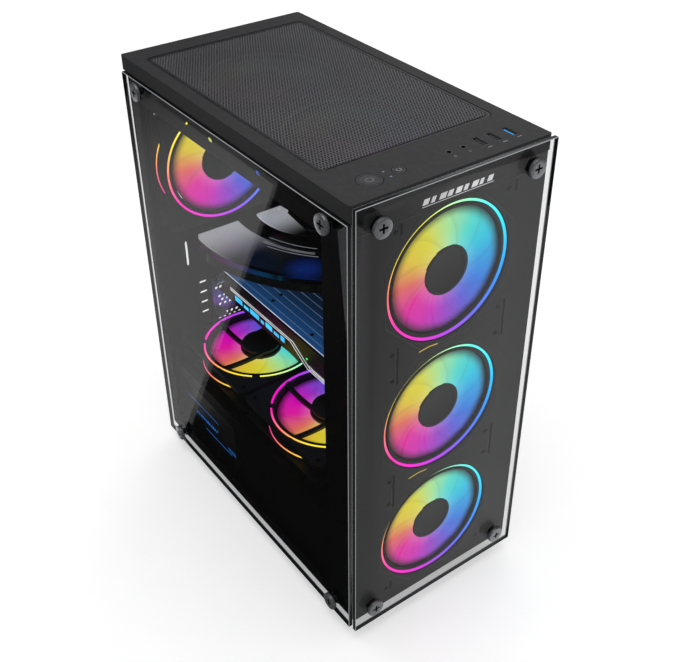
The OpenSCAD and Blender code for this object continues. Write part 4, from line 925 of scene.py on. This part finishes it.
class TOWER_OT_graphics_card(bpy.types.Operator):
    """Makes the card's printed lines, its trim and its small screws"""
    bl_idname = "tower.graphics_card"
    bl_label = "Graphics card"

    def backplate(self):
        material, tree, shader = new_material("card backplate painted glow")
        place = put(tree, "TexCoord").outputs["Object"]
        across = put(tree, "SeparateXYZ", {0: place}).outputs["X"]
        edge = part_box("gpu_backplate")[0].x
        # Blue at one long edge, fading to dark across the plate, in its colour and in a painted glow of the same colour
        share = put(tree, "MapRange", {"Value": across, "From Min": edge, "From Max": edge + 0.075})
        ramp = put(tree, "ValToRGB", {0: share.outputs[0]})
        ramp.color_ramp.elements[0].color, ramp.color_ramp.elements[1].color = colour("#2a66a4"), colour("#0a0f18")
        ramp.color_ramp.elements.new(0.5).color = colour("#16304f")
        grains = put(tree, "Group", {"Scale": 700.0, "Smooth": 0.25, "Rough": 0.4, "Bump": 0.04}, node_tree=fine_grain())
        tree.links.new(ramp.outputs[0], shader.inputs["Base Color"])
        tree.links.new(ramp.outputs[0], shader.inputs["Emission Color"])
        tree.links.new(grains.outputs["Roughness"], shader.inputs["Roughness"])
        tree.links.new(grains.outputs["Normal"], shader.inputs["Normal"])
        shader.inputs["Metallic"].default_value = 0.4
        shader.inputs["Emission Strength"].default_value = 0.45
        return material

    def execute(self, context):
        low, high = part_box("gpu_backplate")
        dress("gpu_backplate", self.backplate())
        dress("gpu_board", finish("card board lacquer", *near("#12151a"), (0.35, 0.5), 500.0))
        dress("gpu_shroud", finish("card shell plastic", *near("#151518"), (0.35, 0.5), 1200.0, bump=0.1))
        dress("gpu_heatsink", finish("card fin metal", *near("#8f9295"), (0.25, 0.4), 500.0, Metallic=1.0))
        dress("gpu_bracket", finish("bracket plate", *near("#b4b6b9"), (0.22, 0.35), 500.0, (1, 1, 9), 0.04, Metallic=1.0))
        for fan in ("gpu_rotor_1", "gpu_rotor_2"):
            dress(fan, finish("card blade plastic", *near("#2a2a2e"), (0.35, 0.5), 1100.0))
        # Fine parallel lines along the plate that all bend the same way near its front
        lines = []
        for i in range(9):
            x = low.x + 0.006 + i * 0.0088
            turn = low.y + 0.052 + i * 0.0052
            bends = ((x, high.y - 0.012), (x, turn), (x + 0.009, turn - 0.012), (x + 0.009, low.y + 0.02))
            lines.append(trail([(*bend, high.z + 0.00005) for bend in bends], 0.0005, 0.0001))
        settle(paint(joined(*lines), lit_line("card print", "#8fb4d8", 0.5)), "card_lines", "case")
        # A painted highlight along one long edge of the backplate: a thin glowing near-white line
        ends = [(low.x - 0.0003, y, high.z - 0.0005) for y in (high.y - 0.004, low.y + 0.017)]
        edge = trail(ends, 0.0008, 0.0002, "y", (1, 0, 0))
        settle(paint(edge, lit_line("card edge painted highlight", "#dde0e4", 1.3)), "card_edge_highlight", "case")
        # Silver trim strips along the card's side, shown as a painted highlight: they glow near white
        trims = []
        for bends in (((146, 172.9), (31, 172.9), (2, 157.2), (-62, 157.2)),
                      ((146, 170.6), (36, 170.6), (7, 154.9), (-62, 154.9)),
                      ((4, 160.2), (-4, 159.2), (-62, 159.2))):
            trims.append(trail([at(-15.4, *bend) for bend in bends], 0.0005, 0.0004, "y", (1, 0, 0)))
        settle(paint(joined(*trims), lit_line("card trim silver painted highlight", "#eef0f2", 1.3)), "card_trim", "case")
        bars = []
        for i, (y, long) in enumerate(((138, 14), (121, 9), (109, 17), (89, 6), (80, 12), (65, 9), (53, 7))):
            bars.append(block(at(-15.15, y - long, 161.5), at(-14.9, y, 165.5 if i % 2 else 167.5), 0.00005))
        settle(paint(joined(*bars), lit_line("card side bars", "#39c9ff", 1.6)), "card_bars", "case")
        led = disc(0.0011, 0, 0.0006, 20, 0.0002)
        fix(led, rotation_euler=(0, -math.pi / 2, 0), location=at(-15.0, 7.4, 166.5))
        settle(paint(led, lit_line("card indicator", "#3dff5a", 2.0)), "card_indicator", "case")
        screws = []
        for place in (at(-4.7, 80.5, 0), at(7.3, 84.6, 0), at(-5.8, 11.6, 0), at(40, 60, 0), at(40, 10, 0)):
            head = disc(0.0021, 0, 0.0005, 24, 0.0002)
            pick(head, "FACE", lambda f: f.normal.z > 0.9 and f.calc_area() > 0.000005)
            bpy.ops.mesh.inset(thickness=0.0009)
            bpy.ops.mesh.extrude_region_move(TRANSFORM_OT_translate={"value": (0, 0, -0.0003)})
            close()
            screws.append(fix(head, location=(place.x, place.y, high.z)))
        metal = finish("small screw metal", *near("#8a8c90"), (0.2, 0.35), 500.0, Metallic=1.0)
        settle(paint(joined(*screws), metal), "card_screws", "case")
        return {"FINISHED"}


class TOWER_OT_power_supply(bpy.types.Operator):
    """Makes the striped label of the power supply and dresses its case"""
    bl_idname = "tower.power_supply"
    bl_label = "Power supply"

    def execute(self, context):
        dress("psu_case", finish("supply steel", *near("#101113"), (0.4, 0.55), 1200.0, bump=0.12))
        dress("psu_rotor", finish("supply blade plastic", *near("#1c1c1f"), (0.35, 0.5), 1100.0))
        dress("psu_inlet", finish("inlet plastic", *near("#131314"), (0.35, 0.5), 900.0))
        dress("psu_switch", finish("switch plastic", *near("#1a1a1b"), (0.3, 0.4), 900.0))
        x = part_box("psu_case")[0].x * 1000 - MIDDLE.x * 1000 - 0.1
        stripes = []
        for y, z, long in ((147, 62.3, 64), (112, 37.2, 52), (66, 43.6, 16), (66, 40.8, 16)):
            stripes.append(block(at(x, y - long, z - 0.3), at(x + 0.2, y, z + 0.3), 0.00005))
        for i in range(12):
            bar = block(at(x, 128 - i * 3.6, 46.6), at(x + 0.2, 130 - i * 3.6 - (i % 3) * 0.4, 51), 0.00005)
            pick(bar, "VERT", lambda v: v.co.z > 0.049)
            bpy.ops.transform.translate(value=(0, -0.0016, 0))
            close()
            stripes.append(bar)
        settle(paint(joined(*stripes), lit_line("supply stripes", "#2f7fe0", 1.0)), "supply_stripes", "case")
        return {"FINISHED"}


# ---------------------------------------------------------------- glass and thumbscrews


class TOWER_OT_glass(bpy.types.Operator):
    """Makes the two glass panes with ground edges and bored screw holes"""
    bl_idname = "tower.glass"
    bl_label = "Glass panes"

    def execute(self, context):
        looks = context.scene.tower_looks
        pane_face = glass_face("tinted glass", looks.glass_tint, 0.02)
        # The chamfers are light grey with a faint painted glow, a painted highlight along the glass edges
        edge = finish("glass chamfer painted glow", *near("#c6cacc", 0.08), (0.3, 0.45), 900.0, bump=0.03,
                      Emission_Color=(0.8, 0.85, 0.87, 1), Emission_Strength=0.05)
        side = finish("ground glass edge", *near("#26292b", 0.15), (0.15, 0.3), 900.0, bump=0.03)
        dress("glass_standoffs", finish("standoff metal", *near("#2a2b2d"), (0.3, 0.4), 500.0, Metallic=1.0))
        for node, thin in (("front_glass", 1), ("side_glass", 0)):
            low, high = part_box(node)
            pane = block(low, high, looks.pane_edge)
            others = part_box(node.replace("glass", "thumbscrews"))
            holes = []
            inset = 0.008
            for u in (0, 1):
                for w in (0, 1):
                    flat = 1 - thin
                    place = Vector((low + high) / 2)
                    place[2] = others[w].z + (-inset if w else inset)
                    place[flat] = others[u][flat] + (-inset if u else inset)
                    hole = start(bpy.ops.mesh.primitive_cylinder_add, vertices=32, radius=0.0032, depth=0.02)
                    turn = (math.pi / 2, 0, 0) if thin else (0, math.pi / 2, 0)
                    holes.append(fix(hole, rotation_euler=turn, location=place))
            cut(pane, joined(*holes))
            paint(pane, pane_face, edge, side)
            for face in pane.data.polygons:
                lean = abs(face.normal[thin])
                face.material_index = 0 if lean > 0.97 else 1 if lean > 0.1 else 2
            settle(pane, node + "_pane", node, (node,))
        return {"FINISHED"}


class TOWER_OT_thumbscrews(bpy.types.Operator):
    """Makes the thumbscrews with a cross recess painted black as shade, over black washers"""
    bl_idname = "tower.thumbscrews"
    bl_label = "Thumbscrews"

    def screw(self, looks, metal, rubber_and_recess_shade, shank):
        """One screw with its axis upright and the underside of its head at zero."""
        head = disc(0.0079, 0.0006, 0.003, 60)
        pick(head, "EDGE", lambda e: all(v.co.z > 0.0029 for v in e.verts))
        bpy.ops.mesh.bevel(offset=looks.screw_chamfer, segments=2)
        close()
        slots = [block((-u, -v, 0.0014), (u, v, 0.004)) for u, v in ((0.0037, 0.00085), (0.00085, 0.0037))]
        modify(slots[0], "BOOLEAN", object=slots[1], operation="UNION", solver="EXACT")
        bpy.data.objects.remove(slots[1])
        cut(head, slots[0])
        stem = disc(0.0019, -shank, 0.0008, 24, 0.0003)
        paint(head, metal, rubber_and_recess_shade)
        # The walls and floor of the cross recess take the black rubber as painted shade
        for face in head.data.polygons:
            inside = math.hypot(face.center.x, face.center.y) < 0.0052 and 0.001 < face.center.z < 0.00295
            face.material_index = 1 if inside else 0
        paint(stem, metal)
        washer = ring(0.0021, 0.0079, 0.0, 0.0007, steps=48)
        paint(washer, rubber_and_recess_shade)
        return joined(head, stem, washer)

    def execute(self, context):
        looks = context.scene.tower_looks
        metal = finish("turned screw metal", *near("#8d8f92", 0.06), (0.25, 0.33), 500.0, (1, 1, 1), 0.01, Metallic=0.55)
        rubber_and_recess_shade = finish("washer rubber", *near("#0c0c0c"), (0.6, 0.8), 900.0, bump=0.1)
        for node, axis, turn in (("front_thumbscrews", 1, (math.pi / 2, 0, 0)), ("side_thumbscrews", 0, (0, -math.pi / 2, 0))):
            low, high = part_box(node)
            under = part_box(node.replace("thumbscrews", "glass"))[0][axis]
            flat = 0 if axis == 1 else 1
            pattern = self.screw(looks, metal, rubber_and_recess_shade, min(0.012, high[axis] - under))
            made = []
            for a in (low[flat] + 0.008, high[flat] - 0.008):
                for z in (low.z + 0.008, high.z - 0.008):
                    place = Vector((0, 0, z))
                    place[flat], place[axis] = a, under
                    made.append(copy_of(pattern, rotation_euler=turn, location=place))
            bpy.data.objects.remove(pattern)
            settle(joined(*made), node[:-1] + "_set", node, (node,))
        dress("panel_thumbscrews", metal)
        return {"FINISHED"}


# ---------------------------------------------------------------- panel, registration and run


ORDER = (TOWER_OT_camera, TOWER_OT_stage, TOWER_OT_case, TOWER_OT_front_panel, TOWER_OT_cover,
         TOWER_OT_dust_filter, TOWER_OT_controls, TOWER_OT_fans, TOWER_OT_boards, TOWER_OT_cooling_hood,
         TOWER_OT_graphics_card, TOWER_OT_power_supply, TOWER_OT_glass, TOWER_OT_thumbscrews)


class TOWER_PT_panel(bpy.types.Panel):
    """Lists the pieces of the tower"""
    bl_idname = "TOWER_PT_panel"
    bl_label = "Tower"
    bl_space_type = "VIEW_3D"
    bl_region_type = "UI"
    bl_category = "Tower"

    def draw(self, context):
        looks = context.scene.tower_looks
        for name in looks.bl_rna.properties.keys():
            if name not in ("rna_type", "name"):
                self.layout.prop(looks, name)
        for operator in ORDER:
            self.layout.operator(operator.bl_idname)


def register():
    for each in (TowerLooks, *ORDER, TOWER_PT_panel):
        bpy.utils.register_class(each)
    bpy.types.Scene.tower_looks = bpy.props.PointerProperty(type=TowerLooks)


def unregister():
    del bpy.types.Scene.tower_looks
    for each in reversed((TowerLooks, *ORDER, TOWER_PT_panel)):
        bpy.utils.unregister_class(each)


def main():
    register()
    for operator in ORDER:
        group, name = operator.bl_idname.split(".")
        getattr(getattr(bpy.ops, group), name)()


if __name__ == "__main__":
    main()
